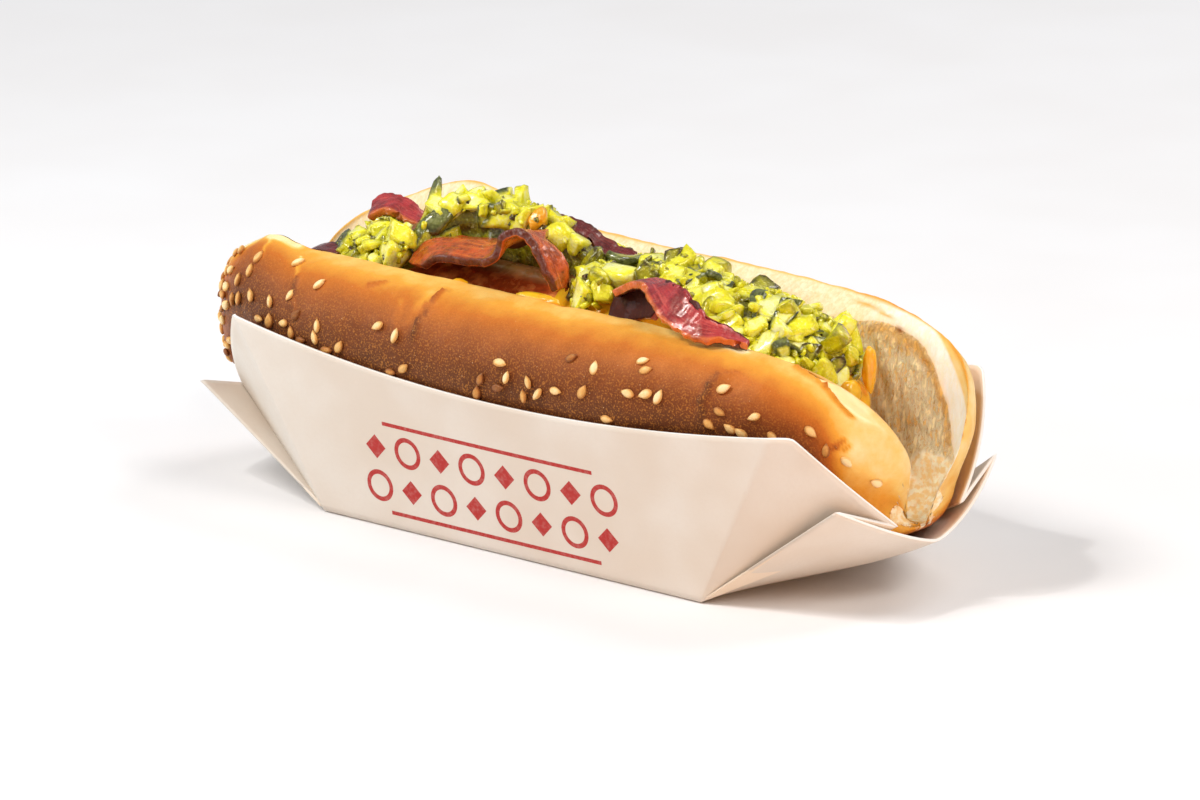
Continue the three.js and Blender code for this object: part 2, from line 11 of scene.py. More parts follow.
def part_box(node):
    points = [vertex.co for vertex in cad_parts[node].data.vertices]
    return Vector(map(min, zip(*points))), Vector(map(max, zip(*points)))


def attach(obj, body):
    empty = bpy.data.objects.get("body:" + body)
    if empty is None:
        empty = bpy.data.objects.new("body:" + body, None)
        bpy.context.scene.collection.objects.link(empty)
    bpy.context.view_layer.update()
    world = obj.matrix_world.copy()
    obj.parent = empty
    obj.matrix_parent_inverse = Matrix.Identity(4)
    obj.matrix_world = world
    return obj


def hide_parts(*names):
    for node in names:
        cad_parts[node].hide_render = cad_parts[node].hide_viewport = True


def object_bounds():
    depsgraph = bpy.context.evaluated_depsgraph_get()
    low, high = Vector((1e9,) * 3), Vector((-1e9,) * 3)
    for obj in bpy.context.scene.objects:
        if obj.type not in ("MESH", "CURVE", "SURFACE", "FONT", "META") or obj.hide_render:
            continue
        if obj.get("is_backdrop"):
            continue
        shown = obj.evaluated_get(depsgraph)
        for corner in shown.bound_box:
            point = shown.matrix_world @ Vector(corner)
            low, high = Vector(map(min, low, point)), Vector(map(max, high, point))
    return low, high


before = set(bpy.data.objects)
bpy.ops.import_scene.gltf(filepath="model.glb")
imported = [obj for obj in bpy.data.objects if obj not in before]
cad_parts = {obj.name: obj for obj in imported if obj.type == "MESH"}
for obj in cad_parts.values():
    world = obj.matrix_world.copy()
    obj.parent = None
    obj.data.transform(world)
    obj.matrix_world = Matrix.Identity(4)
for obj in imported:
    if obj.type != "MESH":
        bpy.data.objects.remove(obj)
cad_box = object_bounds()

# Paper tray.
# One sheet of food board 0.6 mm thick: a flat floor, two tall sides and two low ends. At each corner
# a web is creased back on itself and tucked behind the end, and the end's pointed tip holds it.

MM = 0.001
# Shapes are worked out in millimetres from the middle of the tray's floor, which is 8.5 mm to the
# right of the sausage's middle.
SAUSAGE_MIDDLE = -8.5
MIDDLE = Vector((sum(corner.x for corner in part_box("sausage")) / 2 - SAUSAGE_MIDDLE * MM, 0, 0))
BOARD = 0.6
FLOOR_HALF_LENGTH = 48.3
FLOOR_HALF_WIDTH = 29.0
SIDE_HALF_LENGTH = 68.5
SIDE_HALF_WIDTH = 33.0
SIDE_HEIGHT = 38.0
SIDE_DIP = 5.4
SIDE_BULGE = 1.6
RIGHT_END = {
    "way": 1,
    "tip": (78.8, 25.6, 23.4),
    "reach": 84.2,
    "height": 12.8,
    "peaks": {-1: (72.2, 31, 38.2), 1: (70, 32.6, 37.4)},
    "fold": (82, 10, 17.5),
    "bulge": 1.8,
}
LEFT_END = {
    "way": -1,
    "tip": (83.2, 27, 20.4),
    "reach": 86.0,
    "height": 12.0,
    "peaks": {-1: (69.3, 32.4, 38.1), 1: (70, 32.6, 37.4)},
    "fold": (83.2, 13.8, 16.8),
    "bulge": 1.2,
}
TIP_POWER = 1.3
FLAP_SAG = 0.5
WEB_LEVEL = 0.12
CREASE = 0.75
CREASE_FROM = math.radians(20)


def lerp(a, b, t):
    return a + (b - a) * t


def smooth_step(low, high, value):
    t = np.clip((value - low) / (high - low), 0, 1)
    return t * t * (3 - 2 * t)


def spots(x, y, z):
    """Points from their coordinates, one row each."""
    return np.stack(np.broadcast_arrays(x, y, z), axis=-1).astype(float)


def mirrored(spot, way, side):
    return np.array(spot, float) * (way, side, 1)


def side_rim(t, side):
    middle = 1 - (2 * t - 1) ** 2
    x = lerp(-SIDE_HALF_LENGTH, SIDE_HALF_LENGTH, t)
    return spots(x, side * (SIDE_HALF_WIDTH + SIDE_BULGE * middle), SIDE_HEIGHT - SIDE_DIP * middle)


def web_rim(t, end, side):
    corner = mirrored(side_rim(1.0, 1), end["way"], side)
    peak = mirrored(end["peaks"][side], end["way"], side)
    fold = mirrored(end["fold"], end["way"], side)
    t = t[:, None]
    down = np.clip((t - WEB_LEVEL) / (1 - WEB_LEVEL), 0, 1)
    out = mirrored((math.sqrt(0.5), math.sqrt(0.5), 0), end["way"], side)
    sloping = lerp(peak, fold, down) + out * end["bulge"] * 4 * down * (1 - down)
    return np.where(t < WEB_LEVEL, lerp(corner, peak, t / WEB_LEVEL), sloping)


def end_rim(t, end):
    across = 2 * t - 1
    x, y, z = end["tip"]
    rim_x = end["way"] * lerp(end["reach"], x, across**2)
    return spots(rim_x, across * y, lerp(end["height"], z, abs(across) ** TIP_POWER))


def floor_spot(along, across):
    """A point of the tray's floor, from -1 to 1 each way."""
    return spots(along * FLOOR_HALF_LENGTH, across * FLOOR_HALF_WIDTH, BOARD / 2)


def grid_on(bm, columns, rows, place):
    """A grid of faces laid on a surface. place takes u and v, each from 0 to 1, and gives points."""
    verts = bmesh.ops.create_grid(bm, x_segments=columns, y_segments=rows, size=0.5)["verts"]
    share = np.array([vert.co[:2] for vert in verts]) + 0.5
    for vert, spot in zip(verts, place(share[:, 0], share[:, 1])):
        vert.co = Vector(spot) * MM + MIDDLE
    return verts, share


def close_seams(bm, merge=0.02, sliver=0.001):
    """Joins edges that meet, drops slivers and turns the faces outwards. Both sizes are millimetres."""
    bmesh.ops.remove_doubles(bm, verts=bm.verts[:], dist=merge * MM)
    bmesh.ops.dissolve_degenerate(bm, edges=bm.edges[:], dist=sliver * MM)
    bmesh.ops.recalc_face_normals(bm, faces=bm.faces[:])
    bm.normal_update()


def as_mesh(bm, name):
    mesh = bpy.data.meshes.new(name)
    bm.to_mesh(mesh)
    bm.free()
    return mesh


def in_scene(name, data):
    thing = bpy.data.objects.new(name, data)
    bpy.context.scene.collection.objects.link(thing)
    return thing


def make_piece(bm, name, node, materials):
    """The finished mesh as an object that rides with the hot dog and stands for a CAD node."""
    mesh = as_mesh(bm, name)
    mesh.shade_smooth()
    for material in materials:
        mesh.materials.append(material)
    piece = in_scene(name, mesh)
    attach(piece, "root")
    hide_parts(node)
    return piece


def round_off(piece):
    rounding = piece.modifiers.new("rounded_edges", "SUBSURF")
    rounding.levels = rounding.render_levels = 1


def thicken(piece, thickness, rim_material):
    """Thickness in millimetres, half to each side. The underside takes the piece's second material."""
    wall = piece.modifiers.new("thickness", "SOLIDIFY")
    wall.thickness = thickness * MM
    wall.offset = 0
    wall.material_offset = 1
    wall.material_offset_rim = rim_material


def arithmetic(operation, swapped=False):
    """A method that adds a Math node to a value."""
    def method(value, *others):
        terms = (*others, value) if swapped else (value, *others)
        return value.finish.node("Math", {"operation": operation}, dict(enumerate(terms)))
    return method


class Value:
    """A socket in a material. Arithmetic on it adds Math nodes."""

    def __init__(self, finish, socket):
        self.finish = finish
        self.socket = socket

    __add__ = __radd__ = arithmetic("ADD")
    __sub__ = arithmetic("SUBTRACT")
    __rsub__ = arithmetic("SUBTRACT", swapped=True)
    __mul__ = __rmul__ = arithmetic("MULTIPLY")
    __truediv__ = arithmetic("DIVIDE")
    __mod__ = arithmetic("FLOORED_MODULO")
    __abs__ = arithmetic("ABSOLUTE")
    __lt__ = arithmetic("LESS_THAN")

    def fade(self, low, high, start=0.0, end=1.0):
        """start below low, end above high, and a soft change between them."""
        limits = dict(enumerate((self, low, high, start, end)))
        return self.finish.node("MapRange", {"interpolation_type": "SMOOTHSTEP"}, limits)


class Finish:
    """A material in the making, on one Principled BSDF."""

    def __init__(self, name, **constants):
        self.material = bpy.data.materials.new(name)
        self.material.use_nodes = True
        self.tree = self.material.node_tree
        self.shader = self.tree.nodes["Principled BSDF"]
        for socket, value in constants.items():
            self.feed(self.shader.inputs[socket.replace("_", " ")], value)
        self.place = self.node("TexCoord", output="Object")

    def feed(self, socket, value):
        if isinstance(value, Value):
            self.tree.links.new(value.socket, socket)
        else:
            socket.default_value = value

    def node(self, kind, settings=None, sockets=None, output=0):
        """A node of one type, with its settings made first and then its sockets fed."""
        node = self.tree.nodes.new("ShaderNode" + kind)
        for name, value in (settings or {}).items():
            if name == "stops":
                ramp = node.color_ramp
                while len(ramp.elements) < len(value):
                    ramp.elements.new(0.5)
                for element, (position, colour) in zip(ramp.elements, value):
                    element.position = position
                    element.color = (*colour, 1)
            else:
                setattr(node, name, value)
        for name, value in (sockets or {}).items():
            self.feed(node.inputs[name], value)
        return Value(self, node.outputs[output])

    def noise(self, size, detail=3.0, roughness=0.55, place=None):
        """Noise whose lumps are about size millimetres across."""
        values = {"Vector": place or self.place, "Scale": 1 / (size * MM), "Detail": detail}
        return self.node("TexNoise", None, {**values, "Roughness": roughness})

    def cells(self, size):
        """Distance to the nearest of scattered points about size millimetres apart."""
        return self.node("TexVoronoi", None, {"Vector": self.place, "Scale": 1 / (size * MM)})

    def stretched(self, x, y, z):
        """Object coordinates with each axis scaled, for grain that runs one way."""
        return self.node("Mapping", None, {"Vector": self.place, "Scale": (x, y, z)})

    def warped(self, reach, size, place):
        """Coordinates pushed about by up to half of reach millimetres, in swirls of that size."""
        sockets = {"Vector": place, "Scale": 1 / (size * MM), "Detail": 3.0}
        swirls = self.node("TexNoise", None, sockets, output="Color")
        push = {0: swirls, 1: (reach * MM, reach * MM, reach * MM), 2: place}
        return self.node("VectorMath", {"operation": "MULTIPLY_ADD"}, push)

    def painted(self, name):
        """A value stored on the mesh."""
        return self.node("Attribute", {"attribute_name": name}, output="Fac")

    def ramp(self, value, *stops):
        return self.node("ValToRGB", {"stops": stops}, {"Fac": value})

    def mix(self, factor, a, b):
        colours = [(*c, 1) if isinstance(c, tuple) else c for c in (a, b)]
        sockets = {0: factor, 6: colours[0], 7: colours[1]}
        return self.node("Mix", {"data_type": "RGBA"}, sockets, output=2)

    def bump(self, height, distance, below=None):
        """Relief of that many millimetres from height 0 to 1, on top of other relief."""
        sockets = {"Height": height, "Distance": distance * MM, "Strength": 1.0}
        if below:
            sockets["Normal"] = below
        return self.node("Bump", None, sockets)

    def wear(self, **sockets):
        """Feeds the shader's own sockets and gives the finished material."""
        for name, value in sockets.items():
            self.feed(self.shader.inputs[name.replace("_", " ")], value)
        return self.material


PRINT_MIDDLE = (-3.0, 13.0)
PRINT_PERIOD = 8.4
PRINT_CELLS = 8
PRINT_ROWS_APART = 8.4
PRINT_RULE = {"above": 9.6, "half_length": 27.0, "half_width": 0.42}
PRINT_RED = (0.45, 0.028, 0.024)
RING = {"radius": 2.9, "half_width": 0.5}
DIAMOND = 2.6


def print_mask(paper):
    """Two rows of rings and diamonds between two rules: 1 where there is ink."""
    place = paper.node("SeparateXYZ", None, {0: paper.place})
    height = paper.node("SeparateXYZ", None, {0: paper.place}, output=2)
    along = place / MM - (MIDDLE.x / MM + PRINT_MIDDLE[0])
    up = height / MM - PRINT_MIDDLE[1]
    upper = (up * -1) < 0
    up = abs(up)
    local_up = abs(up - PRINT_ROWS_APART / 2)
    shifted = along + PRINT_PERIOD * PRINT_CELLS / 2
    local = abs(shifted % PRINT_PERIOD - PRINT_PERIOD / 2)
    odd = ((shifted + upper * PRINT_PERIOD) % (2 * PRINT_PERIOD)) < PRINT_PERIOD
    radius = paper.node("Math", {"operation": "SQRT"}, {0: local * local + local_up * local_up})
    ring = abs(radius - RING["radius"]) < RING["half_width"]
    diamond = (local + local_up) < DIAMOND
    row = (odd * ring + (1 - odd) * diamond) * (abs(along) < PRINT_PERIOD * PRINT_CELLS / 2)
    rule = abs(up - PRINT_RULE["above"]) < PRINT_RULE["half_width"]
    return row + rule * (abs(along) < PRINT_RULE["half_length"])


def board_finish(name, printed, colour, shade):
    """Uncoated food board, with its fibres and, on the outside of the tall sides, a red print."""
    paper = Finish(name, Specular_IOR_Level=0.35)
    fibres = paper.noise(0.9, detail=4)
    clouds = paper.noise(22, detail=2)
    base = paper.mix(clouds.fade(0.3, 0.7), colour, shade)
    base = paper.mix(fibres.fade(0.35, 0.75, 0, 0.16), base, shade)
    if printed:
        base = paper.mix(print_mask(paper) * fibres.fade(0.2, 0.6, 0.86, 1), base, PRINT_RED)
    return paper.wear(Base_Color=base, Roughness=fibres.fade(0.3, 0.7, 0.62, 0.74),
                      Normal=paper.bump(fibres, 0.05, paper.bump(clouds, 0.25)))


board_outside = board_finish("board_outside", True, (0.76, 0.69, 0.61), (0.71, 0.61, 0.51))
board_inside = board_finish("board_inside", False, (0.86, 0.75, 0.63), (0.8, 0.65, 0.5))
board_edge = board_finish("board_cut_edge", False, (0.95, 0.93, 0.9), (0.9, 0.86, 0.8))


def flap_spots(end, u, v):
    """The low end, from its fold at the floor to its rim, sagging between its tips."""
    rim = end_rim(u, end)
    panel = lerp(floor_spot(end["way"], 2 * u - 1), rim, v[:, None])
    bend = 1 + FLAP_SAG * (1 - (2 * u - 1) ** 2)
    panel[:, 2] = BOARD / 2 + (rim[:, 2] - BOARD / 2) * v**bend
    return panel


def tray_panels():
    """Each panel's columns, rows and surface. Each is laid before the next one is asked for."""
    for side in (-1, 1):
        yield 60, 16, lambda u, v: lerp(floor_spot(2 * u - 1, side), side_rim(u, side), v[:, None])
    yield 60, 30, lambda u, v: floor_spot(2 * u - 1, 2 * v - 1)
    for end in (LEFT_END, RIGHT_END):
        yield 30, 16, lambda u, v: flap_spots(end, u, v)
        for side in (-1, 1):
            foot = floor_spot(end["way"], side)
            fold, tip = (mirrored(end[part], end["way"], side) for part in ("fold", "tip"))
            yield 24, 16, lambda u, v: lerp(foot, web_rim(u, end, side), v[:, None])
            yield 8, 16, lambda u, v: lerp(foot, lerp(fold, tip, u[:, None]), v[:, None])


def make_tray():
    bm = bmesh.new()
    creases = bm.edges.layers.float.new("crease_edge")
    for columns, rows, place in tray_panels():
        grid_on(bm, columns, rows, place)
    close_seams(bm)
    # The panels are an open sheet, so the outside is the side of the floor that faces down.
    lowest = min(bm.faces, key=lambda face: face.calc_center_median().length)
    if lowest.normal.z > 0:
        bmesh.ops.reverse_faces(bm, faces=bm.faces[:])
    for edge in bm.edges:
        if len(edge.link_faces) == 2 and edge.calc_face_angle(0) > CREASE_FROM:
            edge[creases] = CREASE
    boards = [board_outside, board_inside, board_edge]
    tray = make_piece(bm, "tray_folded_board", "tray", boards)
    round_off(tray)
    thicken(tray, BOARD, 2)


make_tray()

# Bun.
# A soft white roll, brushed and seeded before it is baked on its flat side. It is cut lengthways and
# opened upwards like a book: the domed top is the front half, the pale flat bottom is the back half.

BUN_FROM = -90.0
BUN_TO = 86.0
AXIS_HEIGHT = 15.5
THINNING = 2.6
PLAN_POWER = {"left": 3.8, "right": 2.9}
TOP_POWER = {"left": 6.5, "front_right": 4.0, "back_right": 5.0}
UNDER_POWER = 1.8
BACK_START = 6.5
FRONT_SHORT = 4.5
UNDERCUT = 5.0
REST = 1.05
BACK_HUMP = {"x": -54.0, "width": 18.0, "height": 5.5}
FRONT_HUMP = {"x": -72.0, "width": 7.0, "height": 1.8}
FRONT_RIM = (-18.5, 50.2)
BACK_RIM = (23.5, 52.0)
BUN_OUTER = [
    FRONT_RIM, (-26.5, 48.6), (-32.2, 42.5), (-33.6, 35.5), (-31.4, 25), (-29.4, 12), (-23, 2.6),
    (0, 1.1), (23, 2.6), (29.4, 12), (31.6, 25), (34, 37), (32.2, 46), BACK_RIM,
]
HOLLOW_WALL = [
    FRONT_RIM, (-14.6, 46), (-14, 36), (-10, 26), (0, 22.5), (10.5, 26), (15, 37), (17.5, 48), BACK_RIM,
]
OPEN_END_START = 50.0
FLOOR_DROP = 9.5
CLOSED_START = -70.0
CLOSED_RISE = 14.0
CLOSED_THICK = 11.0


def spline(points, steps=24):
    """Centripetal curve through points, as (lengths along it, points on it)."""
    points = [np.array(point, float) for point in points]
    ends = [2 * points[0] - points[1], *points, 2 * points[-1] - points[-2]]
    t = np.linspace(0, 1, steps, endpoint=False)[:, None]
    path = []
    for a, b, c, d in zip(ends, ends[1:], ends[2:], ends[3:]):
        ab, bc, cd = (np.linalg.norm(q - p) ** 0.5 for p, q in ((a, b), (b, c), (c, d)))
        leave = bc * ((b - a) / ab - (c - a) / (ab + bc)) + c - b
        arrive = bc * ((d - c) / cd - (d - b) / (bc + cd)) + c - b
        path.append(b + t * leave + t**2 * (3 * (c - b) - 2 * leave - arrive)
                    + t**3 * (2 * (b - c) + leave + arrive))
    path = np.concatenate([*path, points[-1][None]])
    steps_long = np.linalg.norm(np.diff(path, axis=0), axis=1)
    return np.concatenate([[0], np.cumsum(steps_long)]), path


def along_spline(curve, share):
    lengths, path = curve
    return np.stack([np.interp(share * lengths[-1], lengths, axis) for axis in path.T], axis=-1)


outer_curve = spline(BUN_OUTER)
wall_curve = spline(HOLLOW_WALL)


def bun_taper(x, power):
    t = np.clip(np.where(x < 0, x / BUN_FROM, x / BUN_TO), 0, 1)
    return (1 - t**power) ** (1 / power)


def bell(distance):
    """1 at distance 0, and little past distance 1."""
    return np.exp(-(distance**2))


def hump(shape, x):
    return shape["height"] * bell((x - shape["x"]) / shape["width"])


def bun_place(curve, share, x):
    """Points of the skin or of the hollow's wall, share running from the front rim to the back rim."""
    y, z = along_spline(curve, share).T
    if curve is wall_curve:
        depth = np.sin(math.pi * share) ** 2
        z = z - depth * FLOOR_DROP * smooth_step(OPEN_END_START, BUN_TO, x)
        z = z + depth * CLOSED_RISE * smooth_step(CLOSED_START, BUN_FROM, x)
    back = smooth_step(0.5, 0.85, share)
    z = z + hump(BACK_HUMP, x) * smooth_step(0.72, 1, share)
    z = z + hump(FRONT_HUMP, x) * (1 - smooth_step(0, 0.2, share))
    right_power = lerp(TOP_POWER["front_right"], TOP_POWER["back_right"], back)
    top_power = np.where(x < 0, TOP_POWER["left"], right_power)
    power = np.where(z > AXIS_HEIGHT, top_power, UNDER_POWER)
    y = y * bun_taper(x, np.where(x < 0, PLAN_POWER["left"], PLAN_POWER["right"]))
    z = AXIS_HEIGHT + (z - AXIS_HEIGHT) * bun_taper(x, power)
    open_end = smooth_step(OPEN_END_START, BUN_TO, x)
    moved = x + BACK_START * back * smooth_step(-40, BUN_FROM, x)
    moved = moved - FRONT_SHORT * (1 - smooth_step(0.2, 0.5, share)) * open_end
    moved = moved - UNDERCUT * (1 - smooth_step(AXIS_HEIGHT, 32, z)) * open_end
    return spots(moved, y, z)


def tray_push(skin):
    """How far the tray's ends and webs push points of the skin inwards."""
    push = np.zeros_like(skin)
    foot = floor_spot(1, 1)
    for end in (LEFT_END, RIGHT_END):
        reach = skin[:, 0] * end["way"]
        across = np.clip(abs(skin[:, 1]) / end["tip"][1], 0, 1)
        rim = end_rim((across + 1) / 2, end)
        part = np.clip((reach - foot[0]) / (abs(rim[:, 0]) - foot[0]), 0, 1)
        height = foot[2] + (rim[:, 2] - foot[2]) * part ** (1 + FLAP_SAG * (1 - across**2))
        here = reach > foot[0]
        push[:, 2] += np.where(here, np.maximum(0, height + REST - skin[:, 2]), 0)
        for side in (-1, 1):
            ways = np.array((end["way"], side, 1))
            outward = np.cross(end["peaks"][side] - foot, end["fold"] - foot)
            outward = outward / np.linalg.norm(outward)
            beyond = ((skin + push) * ways - foot) @ outward + REST
            held = 1 - smooth_step(0, 9, skin[:, 2] - rim_height(skin[:, 0]))
            near = here & (skin[:, 1] * side > 0)
            push -= np.where(near, np.maximum(0, beyond) * held, 0)[:, None] * outward * ways
    return push


def rim_height(x):
    """Height of the tray's front rim beside station x."""
    reach = abs(x)
    side = SIDE_HEIGHT - SIDE_DIP * (1 - np.clip(reach / SIDE_HALF_LENGTH, 0, 1) ** 2)
    for end in (LEFT_END, RIGHT_END):
        peak = end["peaks"][-1]
        t = np.clip((reach - peak[0]) / (end["fold"][0] - peak[0]), 0, 1)
        beyond = (x * end["way"] > 0) & (reach > peak[0])
        side = np.where(beyond, lerp(peak[2], end["fold"][2], t), side)
    return side


def bun_points(on_skin, share, x):
    skin = bun_place(outer_curve, share, x)
    wall = bun_place(wall_curve, share, x)
    middle = (skin + wall) / 2
    half = (skin - middle) * bun_taper(x, THINNING)[:, None]
    # The hollow's wall stops short of the closed end, except at the rims.
    short = CLOSED_THICK * smooth_step(CLOSED_START, BUN_FROM, x) * np.sin(math.pi * share) ** 2
    short = np.where(on_skin, 0, short * np.sqrt(bun_taper(x, PLAN_POWER["left"])))
    held = tray_push(middle + half) + spots(short, 0 * x, 0 * x)
    return middle + np.where(on_skin, 1, -1)[:, None] * half + held


SKIN_LENGTH = outer_curve[0][-1]
BUN_STATIONS = 270
BUN_ROUND = 280
RIM_STATIONS = 400
# Distances to the rims are worked out in so many batches, to save memory.
BATCHES = 60
# Share of the grid's way round that the skin takes, the rest being the hollow's wall.
SKIN_PART = 0.58
# Cracks, dents and torn bits in the front crust: the first four numbers are where each starts and
# ends, as millimetres along the bun and down from the rim, then come half its width, its depth
# (below zero for a lip) and how much paler it is (below zero for browner, which is painted shade in a
# crack).
SCARS = [
    (-72.0, 1.5, -70.0, 9.0, 0.35, 0.25, 0.2),
    (-61.0, 5.0, -57.4, 11.4, 0.35, 0.2, 0.2),
    (-57.4, 11.4, -56.0, 15.0, 0.4, 0.55, -0.3),
    (-56.0, 15.0, -54.1, 18.5, 0.35, 0.3, 0.2),
    (-72.5, 1.0, -66.0, 0.4, 1.0, -0.25, 0.5),
    (-38.6, 8.5, -35.8, 6.6, 0.5, 0.4, -0.15),
    (-21.0, 4.6, -22.5, 18.1, 0.3, 0.9, -0.35),
    (-22.8, 7.5, -24.8, 15.0, 1.1, 0.35, 0.13),
    (-28.2, 11.0, -27.2, 16.5, 0.7, 0.2, 0.12),
    (49.6, 11.0, 49.2, 14.0, 0.35, 0.4, -0.25),
    (49.2, 14.0, 48.8, 18.0, 0.45, 0.6, -0.35),
    (48.8, 18.0, 49.8, 24.0, 0.35, 0.5, -0.3),
    (50.5, 10.5, 54.0, 9.0, 0.3, 0.25, -0.1),
    (46.5, 0.8, 50.0, 1.6, 0.7, -0.3, 0.6),
    (63.1, 1.2, 71.6, 4.4, 0.5, 1.1, -0.2),
    (71.6, 4.4, 77.9, 9.3, 0.5, 1.1, -0.25),
    (66.0, -0.8, 79.5, 5.6, 1.5, -0.9, 0.15),
    (78.4, 17.4, 77.1, 20.3, 0.3, 0.4, -0.25),
    (77.1, 20.3, 75.5, 22.0, 0.3, 0.35, -0.2),
    (79.3, 18.2, 78.3, 20.8, 0.25, 0.3, -0.2),
]
# Flecks on the back half's crumb, toasted ones and a singed one: millimetres along the bun and in
# from its crust, and how long and wide they are.
TOASTED = [(51.0, 1.7, 3.5, 0.5), (56.5, 2.2, 2.0, 0.4)]
SINGED = [(61.2, 3.7, 0.9, 0.55)]


def flecks(x, inner, where):
    return sum(bell(np.hypot((x - at) / long, (inner - down) / wide)) for at, down, long, wide in where)


def distance_to_line(x, down, scar):
    x0, d0, x1, d1 = scar[:4]
    t = ((x - x0) * (x1 - x0) + (down - d0) * (d1 - d0)) / ((x1 - x0) ** 2 + (d1 - d0) ** 2)
    t = np.clip(t, 0, 1)
    wander = 0.25 * np.sin(1.6 * down + x0) * (abs(d1 - d0) > 3)
    return np.hypot(x - lerp(x0, x1, t) + wander, down - lerp(d0, d1, t))


def lumps(spot, size, depth=3):
    """Fractal noise of about -1 to 1 with lumps of that many millimetres."""
    return noise.fractal(spot / (size * MM), 0.7, 2.0, depth)


def crust_finish():
    """Browned satin crust, and inside it a pale open crumb with a cream cut edge. The crumb's pores carry
    painted shade and its strands painted highlight, and the cut edge is painted whiter towards the open
    end as painted light.
    """
    bread = Finish("baked_bread", Subsurface_Weight=0.1, Subsurface_Scale=0.003, Specular_IOR_Level=0.3,
                   Specular_Tint=(1.0, 0.6, 0.3, 1), Subsurface_Radius=(1.0, 0.5, 0.25))
    mottle = bread.noise(7, detail=5, roughness=0.6)
    fine = bread.noise(0.36, detail=2)
    bake = bread.painted("bake") + (mottle - 0.5) * 0.26
    crust = bread.ramp(
        bake,
        (0.0, (0.93, 0.76, 0.42)),
        (0.1, (0.89, 0.57, 0.16)),
        (0.2, (0.8, 0.36, 0.045)),
        (0.4, (0.54, 0.15, 0.02)),
        (0.62, (0.32, 0.082, 0.018)),
        (0.8, (0.2, 0.052, 0.016)),
        (1.0, (0.11, 0.033, 0.013)),
    )
    crust = bread.mix(fine.fade(0.5, 0.68, 0, 0.5) * bake, crust, (0.66, 0.25, 0.045))
    crust = bread.mix(fine.fade(0.34, 0.46, 0.25, 0) * bake, crust, (0.1, 0.028, 0.01))
    dust = bread.cells(1.7).fade(0.04, 0.09, 0.7, 0) * mottle.fade(0.45, 0.5)
    crust = bread.mix(dust * bake, crust, (0.8, 0.5, 0.24))
    strands = bread.warped(1.8, 2.4, bread.stretched(1.3, 1.0, 0.42))
    grain = bread.noise(1.3, detail=5, roughness=0.75, place=strands)
    threads = abs(grain - 0.5).fade(0.0, 0.07, 1, 0)
    holes = bread.noise(2.0, detail=3, place=strands).fade(0.52, 0.62)
    cream = bread.painted("cream") + (mottle - 0.5) * 0.5
    cream = cream.fade(0.35, 0.65)
    # Painted shade and highlight: the pores are painted darker and the raised strands paler.
    open_crumb = bread.mix(grain.fade(0.36, 0.6), (0.82, 0.53, 0.2), (0.99, 0.82, 0.48))
    open_crumb = bread.mix(holes * 0.5, open_crumb, (0.6, 0.33, 0.09))
    open_crumb = bread.mix(threads * 0.8, open_crumb, (1.0, 0.92, 0.68))
    open_crumb = bread.mix(mottle.fade(0.5, 0.7, 0, 0.35), open_crumb, (0.98, 0.85, 0.55))
    # Painted light: towards the open end the cut crumb is painted whiter, where it faces the light.
    golden_cut = bread.mix(grain.fade(0.3, 0.65), (0.93, 0.66, 0.34), (0.98, 0.84, 0.58))
    white_cut = bread.mix(grain.fade(0.3, 0.65), (0.97, 0.88, 0.66), (0.99, 0.96, 0.86))
    cut_crumb = bread.mix(bread.painted("white"), golden_cut, white_cut)
    crumb = bread.mix(cream, open_crumb, cut_crumb)
    crumb = bread.mix(bread.painted("toast") * mottle.fade(0.3, 0.52), crumb, (0.84, 0.43, 0.09))
    crumb = bread.mix(bread.painted("singed"), crumb, (0.3, 0.07, 0.01))
    torn = bread.painted("torn")
    flakes = bread.noise(1.4, detail=4)
    torn_crumb = bread.mix(flakes.fade(0.4, 0.6), (0.95, 0.68, 0.32), (1.0, 0.9, 0.66))
    crumb = bread.mix((torn + (mottle - 0.5) * 0.6).fade(0.35, 0.65), crumb, torn_crumb)
    crust = bread.mix(torn * flakes.fade(0.5, 0.57), crust, torn_crumb)
    inside = bread.painted("crumb")
    skin_relief = bread.bump(fine, 0.06, bread.bump(mottle, 0.35))
    crumb_relief = bread.bump((threads * 0.5 - holes + grain * 0.6) * (1 - cream * 0.8), 0.26)
    normal = bread.node("Mix", {"data_type": "VECTOR"}, {0: inside, 4: skin_relief, 5: crumb_relief}, 1)
    return bread.wear(Base_Color=bread.mix(inside, crust, crumb),
                      Roughness=lerp(mottle.fade(0.3, 0.7, 0.42, 0.54), 0.95, inside), Normal=normal)


def gap_to_rim(points, share):
    """Distance from each point to one of the bun's rims, 0 for the front one and 1 for the back one."""
    along = np.linspace(BUN_FROM, BUN_TO, RIM_STATIONS)
    rim = bun_points(np.full(RIM_STATIONS, True), np.full(RIM_STATIONS, share), along)
    gaps = [np.linalg.norm(part[:, None] - rim[None], axis=2) for part in np.array_split(points, BATCHES)]
    return np.concatenate([gap.min(axis=1) for gap in gaps])


def eased(u):
    """Stations from 0 to 1 that lie closer together towards both ends."""
    return (1 - np.cos(math.pi * u)) / 2


def bun_grid(u, v):
    """Whether a place on the grid is on the skin, its share of the way round, and its station."""
    on_skin = v <= SKIN_PART
    t = np.where(on_skin, v / SKIN_PART, (1 - v) / (1 - SKIN_PART))
    share = t - 0.3 * np.sin(2 * math.pi * t) / (2 * math.pi)
    return on_skin, np.clip(share, 0, 1), lerp(BUN_FROM, BUN_TO, eased(u))


def new_layers(bm, *names):
    """Values to be painted on the mesh, for its finish to read."""
    return [bm.verts.layers.float.new(name) for name in names]


